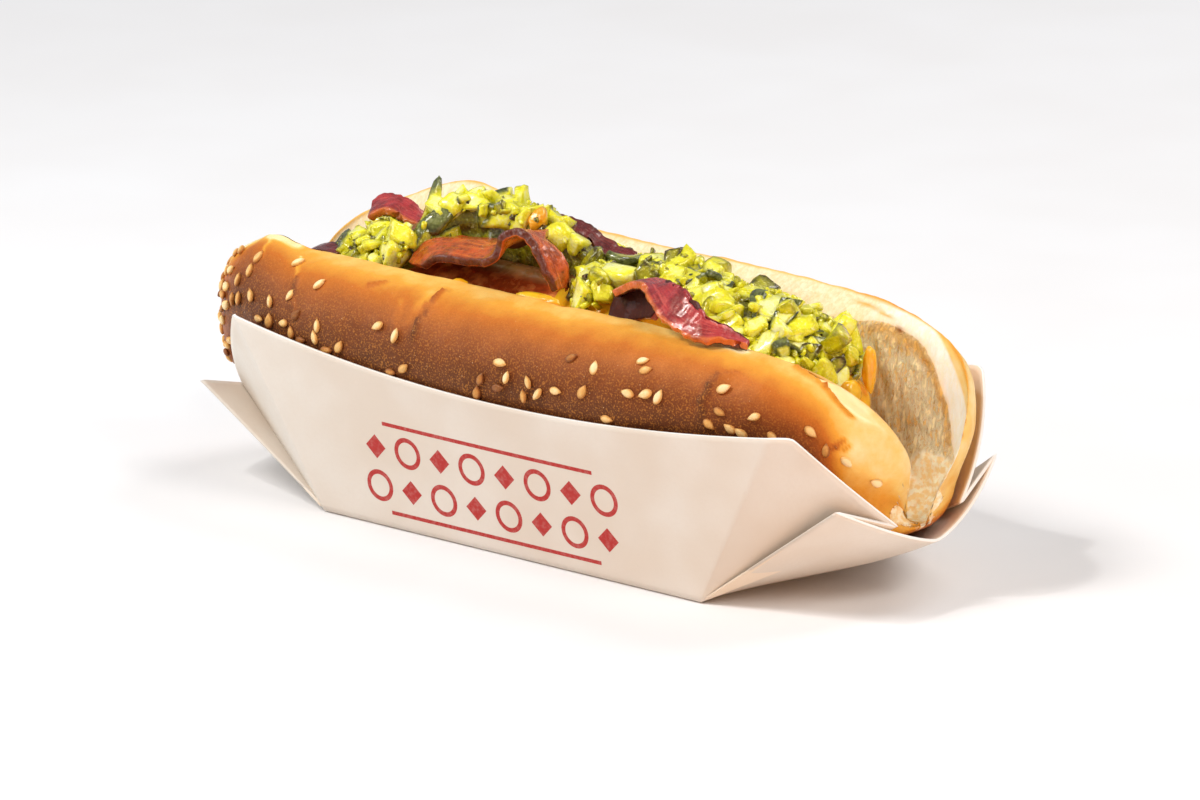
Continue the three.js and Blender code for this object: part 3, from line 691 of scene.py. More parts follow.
def make_bun():
    bm = bmesh.new()
    grid = grid_on(bm, BUN_STATIONS, BUN_ROUND, lambda u, v: bun_points(*bun_grid(u, v)))[1]
    on_skin, share, x = bun_grid(*grid.T)
    at = bun_points(on_skin, share, x)
    down = share * SKIN_LENGTH
    from_back_rim = gap_to_rim(at, 1.0)
    from_front_rim = gap_to_rim(at, 0.0)
    # The bake deepens down the front, sooner at the closed end and later towards the open one.
    front = 1 - smooth_step(0.35, 0.6, share)
    browned = down + 3.5 * smooth_step(-52, -72, x) - 2.5 * smooth_step(54, 66, x)
    bake = 0.15 + 0.85 * smooth_step(1, 26, browned) - 0.45 * smooth_step(38, 60, down)
    bake = bake - 0.4 * smooth_step(90, 130, down) - 0.4 * front * smooth_step(-74, -86, x)
    bake = bake - front * 0.12 * smooth_step(62, 76, x)
    bake = lerp(bake, 0.06 + 0.14 * smooth_step(20, 34, down), front * smooth_step(72, 80, x))
    edge_line = 0.16 * bell(from_back_rim / 0.7) * smooth_step(46, 60, x)
    near_back_rim = bell(from_back_rim / 6) * smooth_step(50, 66, x)
    bake = bake + (1 - front) * (edge_line - 0.09 * near_back_rim)
    # The knife left a lip of crust along the back half's edge, wider round the open end, and a band
    # of smooth cream crumb inside it.
    lip = lerp(0.6, 2.8, smooth_step(68, 80, x))
    band = lerp(5.6, 2.6, smooth_step(46, 60, x)) + 3.2 * smooth_step(66, 80, x)
    inner = from_back_rim - lip
    from_edge = np.minimum(inner, from_front_rim + 2)
    cream = 1 - smooth_step(0, 1.6, from_edge - band)
    # Low at the open end the crumb is torn, in flakes that reach over the crust's edge.
    by_edge = bell(np.minimum(from_back_rim, from_front_rim + 2) / 2.5) * smooth_step(76, 81, x)
    torn = smooth_step(29, 23, at[:, 2]) * np.where(on_skin, by_edge, smooth_step(66, 74, x))
    cream = np.maximum(cream, np.maximum(torn, 0.8 * smooth_step(78, 85, x)))
    crumb = np.where(on_skin, 0.0, smooth_step(0.6, 2.0, from_front_rim) * smooth_step(-0.4, 0.4, inner))
    toast = 0.8 * bell((inner - band - 2) / 1.6) * smooth_step(48, 58, x) * (1 - torn)
    scar_depth = np.zeros_like(x)
    tone = np.zeros_like(x)
    for scar in SCARS:
        gap = distance_to_line(x, down, scar) / scar[4]
        scar_depth = scar_depth + scar[5] * bell(gap) * on_skin
        # Painted shade: a negative tone browns the crust along a crack.
        tone = tone + scar[6] * bell(gap / 1.5)
    painted = {
        "bake": np.clip(bake - tone, 0, 1),
        "crumb": crumb,
        "cream": cream,
        "toast": toast + flecks(x, inner, TOASTED),
        "singed": flecks(x, inner, SINGED),
        "torn": torn,
        # Painted light: the cut crumb whitens towards the open end.
        "white": smooth_step(48, 62, x),
    }
    for layer, values in zip(new_layers(bm, *painted), painted.values()):
        for vert, value in zip(bm.verts, values):
            vert[layer] = value
    verts = bm.verts[:]
    bmesh.ops.recalc_face_normals(bm, faces=bm.faces[:])
    bm.normal_update()
    firm = smooth_step(0.2, 0.65, bun_taper(x, THINNING))
    for vert, inside, depth, smooth, rough, hold in zip(verts, crumb, scar_depth, cream, torn, firm):
        relief = 0.4 * lumps(vert.co, 16) + 0.1 * lumps(vert.co, 3.5)
        airy = 0.5 * lumps(vert.co, 5, 4) + 0.4 * noise.turbulence(vert.co / (1.6 * MM), 3, False) - 0.25
        airy = lerp(airy, 0.3 * airy, smooth) + rough * 0.8 * lumps(vert.co, 3, 3)
        vert.co += vert.normal * MM * hold * (lerp(relief, airy, inside) - depth)
    close_seams(bm, 0.08, 0.01)
    make_piece(bm, "bun_split_roll", "bun", [crust_finish()])


make_bun()

# Sesame seeds.
# Hulled white seeds, flat drops about 3 mm long, scattered on the wet dough and baked on. Most lie
# at the closed end and low on the front half, and some are toasted darker.

SEED_LENGTH = 3.1
SEED_WIDTH = 1.9
SEED_THICKNESS = 1.1
SEED_APART = 2.6
# Seeds on the front: millimetres along the bun and down from the rim, the way that the point shows, in
# degrees clockwise from up, and how toasted each is, from 0 to 1.
FRONT_SEEDS = [
    (-76, 20.5, 12, 0.4), (-75, 16, 25, 0.3), (-73.5, 20, 20, 0.4), (-71.5, 13.5, 10, 0.3),
    (-70.5, 10, 25, 0.3), (-69, 18.5, -10, 0.2), (-65.5, 22.5, 105, 0.2), (-62.5, 18, -12, 0.1),
    (-62, 22, 10, 0.4), (-59.5, 7.5, 45, 0), (-57.5, 21.5, 270, 0.2), (-57, 15.5, 215, 0.1),
    (-55, 23, 0, 0.4), (-54, 19, 50, 0.95), (-52, 24, 85, 0.8), (-50.5, 11.5, 40, 0),
    (-48, 22.5, -12, 0.1), (-47.5, 20, 0, 0.1), (-44.5, 24.5, 85, 0.5), (-41, 23, 35, 0.3),
    (-31.5, 17, 240, 0.1), (-27, 25.5, 90, 0.6), (-26.5, 18, 8, 0), (-23.5, 24, 50, 0.3),
    (-4.5, 25.5, 10, 0.6), (-3.5, 22.5, 20, 0.75), (1, 18.5, 95, 0.1), (1, 23.5, 80, 0.95), (3, 21, 15, 0),
    (7.5, 24, -8, 0.4), (8.5, 21, -25, 0.2), (11, 23, 218, 0.1), (15.5, 21.5, 90, 0.1),
    (17.5, 14.5, 52, 0.8), (22, 20.5, 22, 0.35), (23.5, 15.5, -8, 0), (28, 25, 90, 0.2),
    (32.5, 19, 272, 0.1), (33.5, 12, 62, 0), (35, 13.8, 60, 0.3), (36.5, 18.5, 240, 0.1),
    (39.5, 18.5, 12, 0), (51, 22, 115, 0.4), (52.5, 14, 45, 0), (53, 19, 100, 0.5), (55.5, 22, 285, 0.2),
    (58, 22.5, 280, 0.2), (60.5, 18.5, 225, 0.1), (65, 22, 110, 0.3), (72.5, 18.5, 95, 0.2),
    (75.5, 22, -38, 0.5), (79, 23.5, 88, -0.1), (83.5, 27, 235, -0.15),
]
# More are scattered over the closed end, in this stretch, wherever a try leaves room for one.
END_SEEDS = {"along": (-89.5, -79), "down": (6, 42), "tries": 120}


def seed_shape():
    """A drop: a low sphere drawn out to a point at one end."""
    bm = bmesh.new()
    bmesh.ops.create_uvsphere(bm, u_segments=14, v_segments=9, radius=0.5)
    for vert in bm.verts:
        x, y, z = vert.co
        narrow = 1 - 0.55 * smooth_step(-0.1, 0.5, y)
        vert.co = (x * SEED_WIDTH * narrow, y * SEED_LENGTH, z * SEED_THICKNESS * (1 - 0.3 * (y > 0.3)))
    return as_mesh(bm, "seed_shape")


def stamp(bm, shape):
    """Adds a copy of a shape to the mesh and gives its vertices."""
    start = len(bm.verts)
    bm.from_mesh(shape)
    bm.verts.ensure_lookup_table()
    return bm.verts[start:]


def seed_finish():
    seed = Finish("sesame_seed", Subsurface_Weight=0.1, Subsurface_Scale=0.001, Specular_IOR_Level=0.4,
                  Specular_Tint=(1.0, 0.8, 0.5, 1))
    streak = seed.noise(0.5, detail=2)
    tone = seed.painted("toasted") + (streak - 0.5) * 0.3 + seed.painted("rim") * 0.4
    base = seed.ramp(tone, (0.0, (0.95, 0.74, 0.42)), (0.15, (0.9, 0.6, 0.26)),
                     (0.4, (0.72, 0.38, 0.11)), (0.75, (0.45, 0.17, 0.04)), (1.0, (0.24, 0.08, 0.025)))
    return seed.wear(Base_Color=base, Roughness=streak.fade(0.3, 0.7, 0.35, 0.5),
                     Normal=seed.bump(streak, 0.08))


def crust_spot(x, down):
    at = bun_points(np.array([True]), np.array([down / SKIN_LENGTH]), np.array([x]))
    return Vector(at[0])


def seed_spots(draw):
    for x, down, turn, toasted in FRONT_SEEDS:
        yield x, down, math.radians(-turn), toasted, crust_spot(x, down)
    placed = [crust_spot(x, down) for x, down, *_ in FRONT_SEEDS]
    for _ in range(END_SEEDS["tries"]):
        x = draw.uniform(*END_SEEDS["along"])
        down = draw.uniform(*END_SEEDS["down"])
        spot = crust_spot(x, down)
        if all((other - spot).length > SEED_APART for other in placed):
            placed.append(spot)
            yield x, down, draw.uniform(-1.6, 1.6), draw.random() ** 2, spot


def make_seeds():
    draw = random.Random(11)
    bm = bmesh.new()
    toasted_layer, rim_layer = new_layers(bm, "toasted", "rim")
    shape = seed_shape()
    for x, down, spin, toasted, spot in seed_spots(draw):
        along = crust_spot(x + 0.3, down) - spot
        around = crust_spot(x, down + 0.3) - spot
        normal = around.cross(along).normalized()
        size = draw.uniform(0.9, 1.08)
        lie = Vector((0, 0, 1)).rotation_difference(normal) @ Quaternion((0, 0, 1), spin)
        lie = lie @ Quaternion((0, 1, 0), draw.gauss(0, 0.25))
        for vert in stamp(bm, shape):
            out = math.hypot(2 * vert.co.x / SEED_WIDTH, 2 * vert.co.y / SEED_LENGTH)
            vert[rim_layer] = smooth_step(0.55, 0.95, out)
            vert[toasted_layer] = toasted
            vert.co = (lie @ (vert.co * size) + spot + normal * 0.3) * MM + MIDDLE
    bpy.data.meshes.remove(shape)
    make_piece(bm, "sesame_seeds", "bun", [seed_finish()])


make_seeds()

# Sausage.
# A smooth browned sausage in its skin, hot and wet with its own fat, laid in the bun before the rest.
# Little of it shows: a strip under the front rasher, and its end at the bun's closed end.

SAUSAGE_RADIUS = 12.0
SAUSAGE_FROM = -69.0
SAUSAGE_TO = 52.0
SAUSAGE_Y = -0.4
SAUSAGE_Z = 38.0
SAUSAGE_BEND = 1.6
SAUSAGE_DROOP = 4.5
SAUSAGE_END_POWER = 7
SAUSAGE_END_ROOT = 1 / 2.2


def sausage_height(x):
    return SAUSAGE_Z - SAUSAGE_DROOP * smooth_step(10, SAUSAGE_TO, x)


def sausage_finish():
    skin = Finish("sausage_skin", Coat_Weight=0.9, Coat_Roughness=0.06, Subsurface_Weight=0.1,
                  Subsurface_Scale=0.002, Specular_Tint=(1.0, 0.6, 0.35, 1))
    patches = skin.noise(6, detail=4)
    freckles = skin.noise(1.2, detail=2)
    base = skin.ramp(patches + (freckles - 0.5) * 0.3, (0.3, (0.18, 0.02, 0.006)),
                     (0.5, (0.42, 0.07, 0.014)), (0.66, (0.8, 0.28, 0.07)))
    # Painted light: a paler tan along the top, where light falls on it.
    base = skin.mix(skin.painted("dry") * 0.75, base, (0.55, 0.25, 0.09))
    return skin.wear(Base_Color=base, Roughness=patches.fade(0.3, 0.7, 0.2, 0.34),
                     Normal=skin.bump(freckles, 0.1, skin.bump(patches, 0.4)))


def closed_loft(bm, columns, rows, place):
    """A closed surface: u along it, v round it, its ends drawn in to a point."""
    grid_on(bm, columns, rows, place)
    close_seams(bm)


def make_sausage():
    bm = bmesh.new()
    dry = bm.verts.layers.float.new("dry")
    middle = (SAUSAGE_TO + SAUSAGE_FROM) / 2
    reach = (SAUSAGE_TO - SAUSAGE_FROM) / 2

    def place(u, v):
        t = -np.cos(math.pi * u)
        radius = SAUSAGE_RADIUS * np.clip(1 - abs(t) ** SAUSAGE_END_POWER, 0, 1) ** SAUSAGE_END_ROOT
        angle = 2 * math.pi * v
        x = middle + reach * t
        y = SAUSAGE_Y + SAUSAGE_BEND * (t**2 - 0.4) + radius * np.cos(angle)
        return spots(x, y, sausage_height(x) + radius * np.sin(angle))

    closed_loft(bm, 90, 56, place)
    # Painted light: paler along the very top.
    for vert in bm.verts:
        above = vert.co.z / MM - sausage_height(vert.co.x / MM)
        vert[dry] = smooth_step(0.9, 0.97, above / SAUSAGE_RADIUS)
    make_piece(bm, "sausage_link", "sausage", [sausage_finish()])


make_sausage()

# Cheese sauce.
# Warm, smooth, bright orange cheese sauce, ladled over the sausage. It has run out in a lobe past
# the sausage's end and shows in drips under the rasher.

SAUCE_FROM = -12.0
SAUCE_TO = 62.0
SAUCE_THICKNESS = 2.0
SAUCE_SHRINK = 0.34
SAUCE_SHIFT = 3.0
# Drops pressed out past the filling: middle, then half sizes, in millimetres.
SAUCE_DROPS = [
    ((-4, -15.4, 49.2), (5.5, 1.5, 1.1)),
    ((-24, -15.6, 49.0), (1.8, 1.1, 0.8)),
    ((62.4, 6.0, 42.0), (1.3, 1.6, 4.6)),
    ((60.8, 1.6, 38.0), (2.2, 2.8, 2.8)),
]


def sauce_finish():
    sauce = Finish("cheese_sauce", Coat_Weight=0.5, Coat_Roughness=0.1, Subsurface_Weight=0.35,
                   Subsurface_Scale=0.004, Subsurface_Radius=(1.0, 0.5, 0.1))
    swirl = sauce.noise(8, detail=3)
    base = sauce.mix(swirl.fade(0.35, 0.65), (0.93, 0.38, 0.006), (0.97, 0.56, 0.02))
    return sauce.wear(Base_Color=base, Roughness=swirl.fade(0.3, 0.7, 0.22, 0.36),
                      Normal=sauce.bump(swirl, 0.6))


def make_sauce():
    bm = bmesh.new()

    def place(u, v):
        x = lerp(SAUCE_FROM, SAUCE_TO, eased(u))
        end = np.clip(1 - abs(2 * u - 1) ** 3, 0, 1) ** 0.6
        wave = 0.8 * np.sin(x * 0.42) + 0.6 * np.sin(x * 0.19 + 2)
        past = smooth_step(38, SAUCE_TO, x)
        radius = (SAUSAGE_RADIUS + SAUCE_THICKNESS + 0.4 * wave) * (1 - SAUCE_SHRINK * past) * end
        lift = np.sin(2 * math.pi * v)
        y = SAUSAGE_Y + SAUCE_SHIFT * past + 1.1 * radius * np.cos(2 * math.pi * v)
        return spots(x, y, sausage_height(x) + np.where(lift > 0, radius, (2 + wave) * end) * lift)

    closed_loft(bm, 90, 60, place)
    for vert in bm.verts:
        vert.co += vert.normal * MM * 0.5 * lumps(vert.co, 9, 2)
    for middle, half in SAUCE_DROPS:
        for vert in bmesh.ops.create_icosphere(bm, subdivisions=4, radius=1.0)["verts"]:
            bulge = 1 + 0.15 * lumps(vert.co * MM * 5 + Vector(middle), 4, 2)
            vert.co = Vector(a + b * c * bulge for a, b, c in zip(middle, vert.co, half)) * MM + MIDDLE
    make_piece(bm, "cheese_sauce_run", "cheese_sauce", [sauce_finish()])


make_sauce()

# Bacon.
# Streaky rashers fried crisp and laid on in waves: dark lean meat with bands of orange fat, blistered
# faces and frizzled edges. One arches over the sausage and one curls over the front rim.

RASHER = 1.7
# Each rasher is a ribbon between a front edge and a back edge, which match point by point, with the
# finishes of its upper face and its underside. The two in front go on under the relish, tucked in by
# that much, as far as these shares of their length. The tucked part is painted dark: painted shade that
# closes the hollow under the rasher.
RASHERS = {
    "bacon_1": {
        "front": [(-34.8, -14, 49.8), (-31.3, -14.2, 52.3), (-25, -14.4, 52.8), (-18.5, -14.4, 53.8),
                  (-16, -14.1, 55.6), (-14.2, -14, 59.4), (-11, -14, 61.4), (-7.6, -14, 60.4),
                  (-4.6, -14, 56.7), (-1.6, -13.5, 50.6)],
        "back": [(-40.6, -11, 48.8), (-39, -8.2, 52.6), (-32, -8, 54.3), (-21.4, -8, 55.5),
                 (-18.6, -8, 56.5), (-15.2, -8, 58.3), (-11.5, -8, 59.3), (-7.6, -8, 58.2),
                 (-3.3, -8, 54.9), (-2.4, -9, 50.2)],
        "faces": ("fried_amber", "fat_side"),
        "tucked": (0.0, 6.5, -1.0),
        "tucked_until": (0.62, 0.76),
    },
    "bacon_2": {
        "front": [(13.2, -12.6, 52.4), (16.4, -13.4, 54.4), (20.3, -14.4, 56), (23.4, -16, 56.5),
                  (25.9, -18, 55.6), (31, -20.8, 53.2), (36.2, -22.4, 51.4), (41.3, -22.6, 50.6),
                  (46.3, -20.1, 50.4), (50.8, -17.7, 49.9)],
        "back": [(10.4, -8, 51.4), (12.6, -8, 52.7), (16.4, -8.4, 54.4), (21.6, -9.6, 56.0),
                 (27, -13, 57.4), (32.6, -16, 57.6), (37.4, -18, 56), (41.2, -19, 53.9),
                 (45.1, -17.1, 51.9), (50.5, -16.9, 50.1)],
        # The underside is painted dark: painted shade in the hollow under the curl.
        "faces": ("fried_red", "fried_dark"),
        "tucked": (0.0, -3.4, -7.0),
        "tucked_until": (0.4, 0.52),
    },
    "bacon_3": {
        "front": [(-20.5, 6.6, 57.6), (-12.5, 6.8, 55.9), (-6, 7, 53.3), (1.3, 7.4, 52)],
        "back": [(-22, 10, 58.2), (-13, 10.2, 57.2), (-5.6, 10.4, 54.4), (0, 10.8, 53.2)],
        "faces": ("fried_dark", "fried_dark"),
    },
    "bacon_4": {
        "front": [(-63.2, 3, 51.6), (-61, 3, 53), (-58.4, 3, 53.7), (-55.4, 3, 52.8), (-51, 3, 52)],
        "back": [(-65.6, 7, 53.9), (-62.6, 7.4, 55.4), (-59, 7.6, 55.4), (-55.6, 7.6, 54.6),
                 (-52.2, 7.2, 53)],
        "faces": ("fried_red", "fried_red"),
    },
    "bacon_5": {
        "front": [(-68.5, -10, 46), (-65, -10.6, 46.9), (-61.5, -10, 46.4)],
        "back": [(-70, -5, 45.6), (-66.5, -5, 47), (-63, -5, 46.6)],
        "faces": ("fried_dark", "fried_dark"),
    },
}


def bacon_finish(name, lean, fat, char, rim, blistered, shaded):
    """One face of a rasher, from the colours of its lean, fat, charred spots (also its painted shade) and
    front edge, how blistered it is and how dark the painted shade goes towards its back edge and where it
    is tucked in."""
    bacon = Finish(name, Coat_Roughness=0.13, Subsurface_Weight=0.1, Subsurface_Scale=0.0012,
                   Specular_Tint=(1.0, 0.65, 0.5, 1))
    across = bacon.painted("across")
    # Painted shade: the face darkens towards its back edge and on the part tucked under the relish, as the
    # hollow under the rasher is in shadow.
    tucked = across.fade(0.7, 1.2, 0, shaded)
    grain = bacon.node("CombineXYZ", None, {0: bacon.painted("along") * (0.16 * MM), 1: across * (6 * MM)})
    fibres = bacon.noise(0.4, detail=3, place=grain)
    bands = bacon.noise(1.6, detail=3, place=grain)
    blisters = bacon.noise(0.8, detail=4)
    clouds = bacon.noise(3.5, detail=4)
    base = bacon.mix(clouds.fade(0.36, 0.62), tuple(0.5 * part for part in lean), lean)
    base = bacon.mix(bands.fade(0.52, 0.64, 0, 0.6), base, fat)
    base = bacon.mix(fibres.fade(0.5, 0.68, 0, 0.4), base, fat)
    base = bacon.mix(fibres.fade(0.3, 0.44, 0.4, 0), base, char)
    base = bacon.mix(blisters.fade(0.3, 0.4, blistered, 0), base, char)
    base = bacon.mix(across.fade(0.02, 0.16, 0.9, 0) * clouds.fade(0.3, 0.5, 0.4, 1), base, rim)
    # Painted shade, laid on in the charred colour.
    base = bacon.mix(tucked, base, char)
    return bacon.wear(Base_Color=base, Roughness=lerp(blisters.fade(0.3, 0.7, 0.22, 0.36), 0.8, tucked),
                      Coat_Weight=(1 - tucked) * 0.5,
                      Normal=bacon.bump(blisters, 0.1 + 0.25 * blistered, bacon.bump(fibres, 0.08)))


# The dark of charred spots and frizzled edges, which is also painted shade on the tucked parts.
CHARRED = (0.07, 0.008, 0.003)
BACON_FACES = {
    "fried_amber": ((0.55, 0.085, 0.012), (0.78, 0.19, 0.025), CHARRED, CHARRED, 0.7, 0.0),
    "fried_red": (
        (0.42, 0.035, 0.04), (0.62, 0.1, 0.08), (0.13, 0.008, 0.015), (0.7, 0.17, 0.035), 0.15, 0.0),
    # A dark rasher's own colour, and on the curl's underside painted shade.
    "fried_dark": ((0.15, 0.012, 0.014), (0.28, 0.04, 0.03), (0.04, 0.004, 0.003), CHARRED, 0.3, 0.9),
    "fat_side": ((0.8, 0.24, 0.012), (0.92, 0.42, 0.04), CHARRED, (0.5, 0.08, 0.01), 0.2, 0.95),
}
bacon_faces = {name: bacon_finish(name, *look) for name, look in BACON_FACES.items()}


def ribbon_edge(knots, share):
    """Points along a smooth edge, share running evenly from knot to knot."""
    path = spline(knots)[1]
    step = share * (len(path) - 1)
    return np.stack([np.interp(step, np.arange(len(path)), axis) for axis in path.T], axis=-1)


def rasher_edges(shape, share):
    return [ribbon_edge(shape[edge], share) for edge in ("front", "back")]


def rasher_points(shape, u, v):
    """Middle of a rasher: u along its edges, v from the front one, 0, to the back one, 1, and past 1
    where it is tucked in."""
    front, back = rasher_edges(shape, u)
    flat = lerp(front, back, np.minimum(v, 1)[:, None])
    if "tucked" not in shape:
        return flat
    past = np.maximum(v - 1, 0) * (1 - smooth_step(*shape["tucked_until"], u))
    return flat + past[:, None] * shape["tucked"]


def make_rasher(node, shape):
    bm = bmesh.new()
    along_layer, across_layer = new_layers(bm, "along", "across")
    depth = 2 if "tucked" in shape else 1
    verts, share = grid_on(bm, 130, 20 * depth, lambda u, v: rasher_points(shape, u, v * depth))
    u, v = share.T
    front, back = rasher_edges(shape, u)
    widths = (back - front) / np.linalg.norm(back - front, axis=1)[:, None]
    length = np.linalg.norm(np.diff(shape["front"], axis=0), axis=1).sum()
    bm.normal_update()
    for vert, along, across, width in zip(verts, u * length, v * depth, widths):
        vert[along_layer] = along
        vert[across_layer] = across
        at_edge = (2 * across - 1) ** 5 if across < 1 else max(0, 1.2 - across) * 5
        frizzle = at_edge * (0.2 + 0.7 * lumps(vert.co, 3, 3))
        vert.co += Vector(width) * MM * frizzle + vert.normal * MM * 0.3 * lumps(vert.co, 4.5, 3)
    faces = [bacon_faces[face] for face in shape["faces"]]
    piece = make_piece(bm, node + "_rasher", node, faces)
    thicken(piece, RASHER, 0)
    round_off(piece)


for node, shape in RASHERS.items():
    make_rasher(node, shape)

# Pickle relish.
# Cucumber pickles chopped by machine into cubes and short slices of 3 to 7 mm, in a little sweet
# brine. The flesh is clear yellow green, and the pieces cut from the outside keep a dark green skin.

RELISH_FROM = -66.0
RELISH_TO = 60.5
RELISH_Y = 1.2
RELISH_HALF_WIDTH = 13.5
RELISH_HALF_HEIGHT = 8.5
RELISH_TOP = [(-67, 53.5), (-60, 53.5), (-54, 53.8), (-48, 56), (-43, 58.5), (-38, 60.5), (-20, 60.5),
              (-10, 57.5), (0, 54.5), (8, 55.5), (16, 56), (28, 54), (40, 53), (50, 51.5), (56, 49),
              (61, 45)]
VIEW_AZIMUTH = 39.3
VIEW_ELEVATION = 16.3
# The pieces that stand out: millimetres along the heap, angle from its back over the top to its front
# in half turns, length, width, thickness, degrees that the length is turned up from the bun's way,
# degrees that it is stood up, tint from olive 0 to pale yellow 1, and where it keeps its skin, or
# whether it is pepper.
STAND_OUT_PIECES = [
    (-44, 0.5, 9.5, 3.6, 2.2, 60, 55, 0.6, "tip"),
    (-39, 0.77, 8, 4.2, 2.2, 50, 0, 0.2, "top"),
    (-40, 0.93, 5.5, 3, 2.2, 60, 0, 0.35, "side"),
    (-38, 0.63, 5.5, 4.5, 4.2, 60, 0, 0.85, ""),
    (-34, 0.54, 5.2, 3.2, 2.6, 0, 0, 0.9, ""),
    (-31, 0.4, 8, 5.6, 4.6, 10, 0, 0.85, "side"),
    (-28, 0.72, 9.5, 4.8, 2, 5, 0, 0.7, "rim"),
    (-26, 0.7, 6.2, 5, 3, 60, 0, 0.8, "side"),
    (-22, 0.74, 5, 4, 3.2, 20, 0, 0.85, ""),
    (-18, 0.55, 4.2, 3.5, 3, 60, 0, 0.9, "pepper"),
    (-17, 0.35, 6.5, 3.5, 3.2, -10, 0, 0.8, ""),
    (-23, 0.4, 7, 4.6, 3.2, 0, 0, 0.7, "side"),
    (-12, 0.66, 6.5, 5, 3.6, -20, 0, 0.8, ""),
    (-8, 0.65, 4.2, 3.6, 3.2, 80, 0, 0.85, ""),
    (-3, 0.7, 7, 3.5, 3, 80, 0, 0.3, "side"),
    (7, 0.65, 10.5, 4.6, 4, -3, 0, 0.92, ""),
    (3, 0.86, 5.6, 4.5, 4, 80, 0, 0.9, ""),
    (8, 0.83, 4, 4, 3, 0, 0, 0.7, ""),
    (-56, 0.6, 5.2, 4.8, 3.2, 40, 0, 0.8, ""),
    (-47, 0.72, 6.2, 2.4, 2, 0, 0, 0.95, ""),
    (-46, 0.9, 6, 5.4, 4, 50, 0, 0.92, ""),
    (-61, 0.68, 4.2, 4, 3, 60, 0, 0.85, ""),
    (-64, 0.75, 3.6, 3, 2.6, 0, 0, 0.2, "top"),
    (-52, 0.78, 7, 3, 2.6, 35, 0, 0.85, ""),
    (28, 0.64, 9, 5, 4, 75, 0, 0.8, ""),
    (34, 0.66, 8, 5, 4, -10, 0, 0.85, ""),
    (31, 0.52, 5.2, 2.6, 2, 0, 0, 0.85, ""),
    (34, 0.42, 5.6, 4.5, 3.2, 0, 0, 0.75, ""),
    (43, 0.52, 7.8, 6, 3.6, 75, 0, 1.0, ""),
    (44, 0.71, 5.2, 4, 3.4, 60, 0, 0.9, ""),
    (39, 0.76, 5, 3.6, 3.2, 80, 0, 0.85, ""),
    (48, 0.8, 7, 4.2, 3.6, 85, 0, 0.95, ""),
    (51, 0.65, 5.4, 3.6, 3, 20, 0, 0.8, ""),
    (54, 0.63, 8.4, 5.4, 1.8, 30, 0, 0.45, "rim"),
    (56, 0.52, 9, 4, 3.4, 0, 86, 0.5, "side"),
    (59.5, 0.6, 5.2, 4.2, 3.6, 70, 0, 0.95, ""),
    (57, 0.74, 5.4, 4, 3.2, 0, 0, 0.9, ""),
    (53, 0.84, 5, 3.2, 3, 0, 0, 0.85, ""),
    (48, 0.49, 3.6, 3, 2.5, 0, 0, 0.9, "pepper"),
    (3, 0.42, 6.2, 5, 2, 0, 0, 0.5, "rim"),
    (11, 0.42, 6, 4.6, 3.6, 0, 0, 0.88, ""),
    (20, 0.57, 8.5, 3.6, 3.2, 0, 0, 0.8, ""),
    (22, 0.6, 3.6, 3, 2.5, 0, 0, 0.15, "top"),
    (13, 0.58, 4.2, 3.6, 2, 0, 0, 0.2, "rim"),
]
# Where bacon stands in front, the heap is only so deep there, and its core there is painted dark as
# painted shade: from where to where, and how many millimetres from its middle.
HOLLOWS = [(-44, -34, -5, 2, 1.0), (7, 11, 25, 30, 8.0)]
HOLLOW_SIDE = 0.72
CORE_SHARE = 0.8
# The rest lie at random. Both kinds are cut at random too, from a block with that many cuts, and
# aren't laid where they would hide the bacon or, for the larger ones, crowd each other.
CHOPPED = {
    "count": 460, "from_ends": 2, "sizes": ((2.4, 7), (2, 4.8), (1.3, 3.4)), "longest_first": True,
    "skins": ("top", "side", "rim", *[""] * 11), "stood": 30, "tint": (2.6, 1.3),
    "cuts": 3, "apart": 2.1, "reach": 2.6, "sunk": 0.0,
}
FINE = {
    "count": 1100, "from_ends": 1, "sizes": ((1.2, 3.4), (0.8, 1.8), (0.5, 1.2)), "longest_first": False,
    "skins": ("top", *[""] * 8), "stood": 40, "tint": (2, 1.4),
    "cuts": 1, "apart": 0.0, "reach": 1.4, "sunk": 0.6,
}
BACON_IN_RELISH = ("bacon_1", "bacon_2", "bacon_3", "bacon_4")


def toward(azimuth, elevation):
    """The way to what stands so many degrees round from straight in front, and so many up."""
    a, e = math.radians(azimuth), math.radians(elevation)
    return Vector((math.sin(a) * math.cos(e), -math.cos(a) * math.cos(e), math.sin(e)))


TOWARD_VIEWER = toward(VIEW_AZIMUTH, VIEW_ELEVATION)


def relish_points(x, angle):
    """Points on the heap's surface, angle going from the back over the top to the front."""
    top = np.interp(x, *zip(*RELISH_TOP))
    front = RELISH_HALF_WIDTH
    for start, from_x, to_x, end, depth in HOLLOWS:
        front = lerp(front, depth, smooth_step(start, from_x, x) * (1 - smooth_step(to_x, end, x)))
    t = 2 * (x - RELISH_FROM) / (RELISH_TO - RELISH_FROM) - 1
    end = np.clip(1 - abs(t) ** 7, 0, 1) ** 0.4
    side = np.where(np.cos(angle) < 0, front, RELISH_HALF_WIDTH)
    return spots(x, RELISH_Y + side * end * np.cos(angle),
                 top + RELISH_HALF_HEIGHT * (end * np.sin(angle) - 1))


def in_a_hollow(x):
    return any(from_x - 2 < x < to_x + 2 for _, from_x, to_x, _, _ in HOLLOWS)


def relish_spot(x, angle):
    return Vector(relish_points(np.array([x]), np.array([angle]))[0])


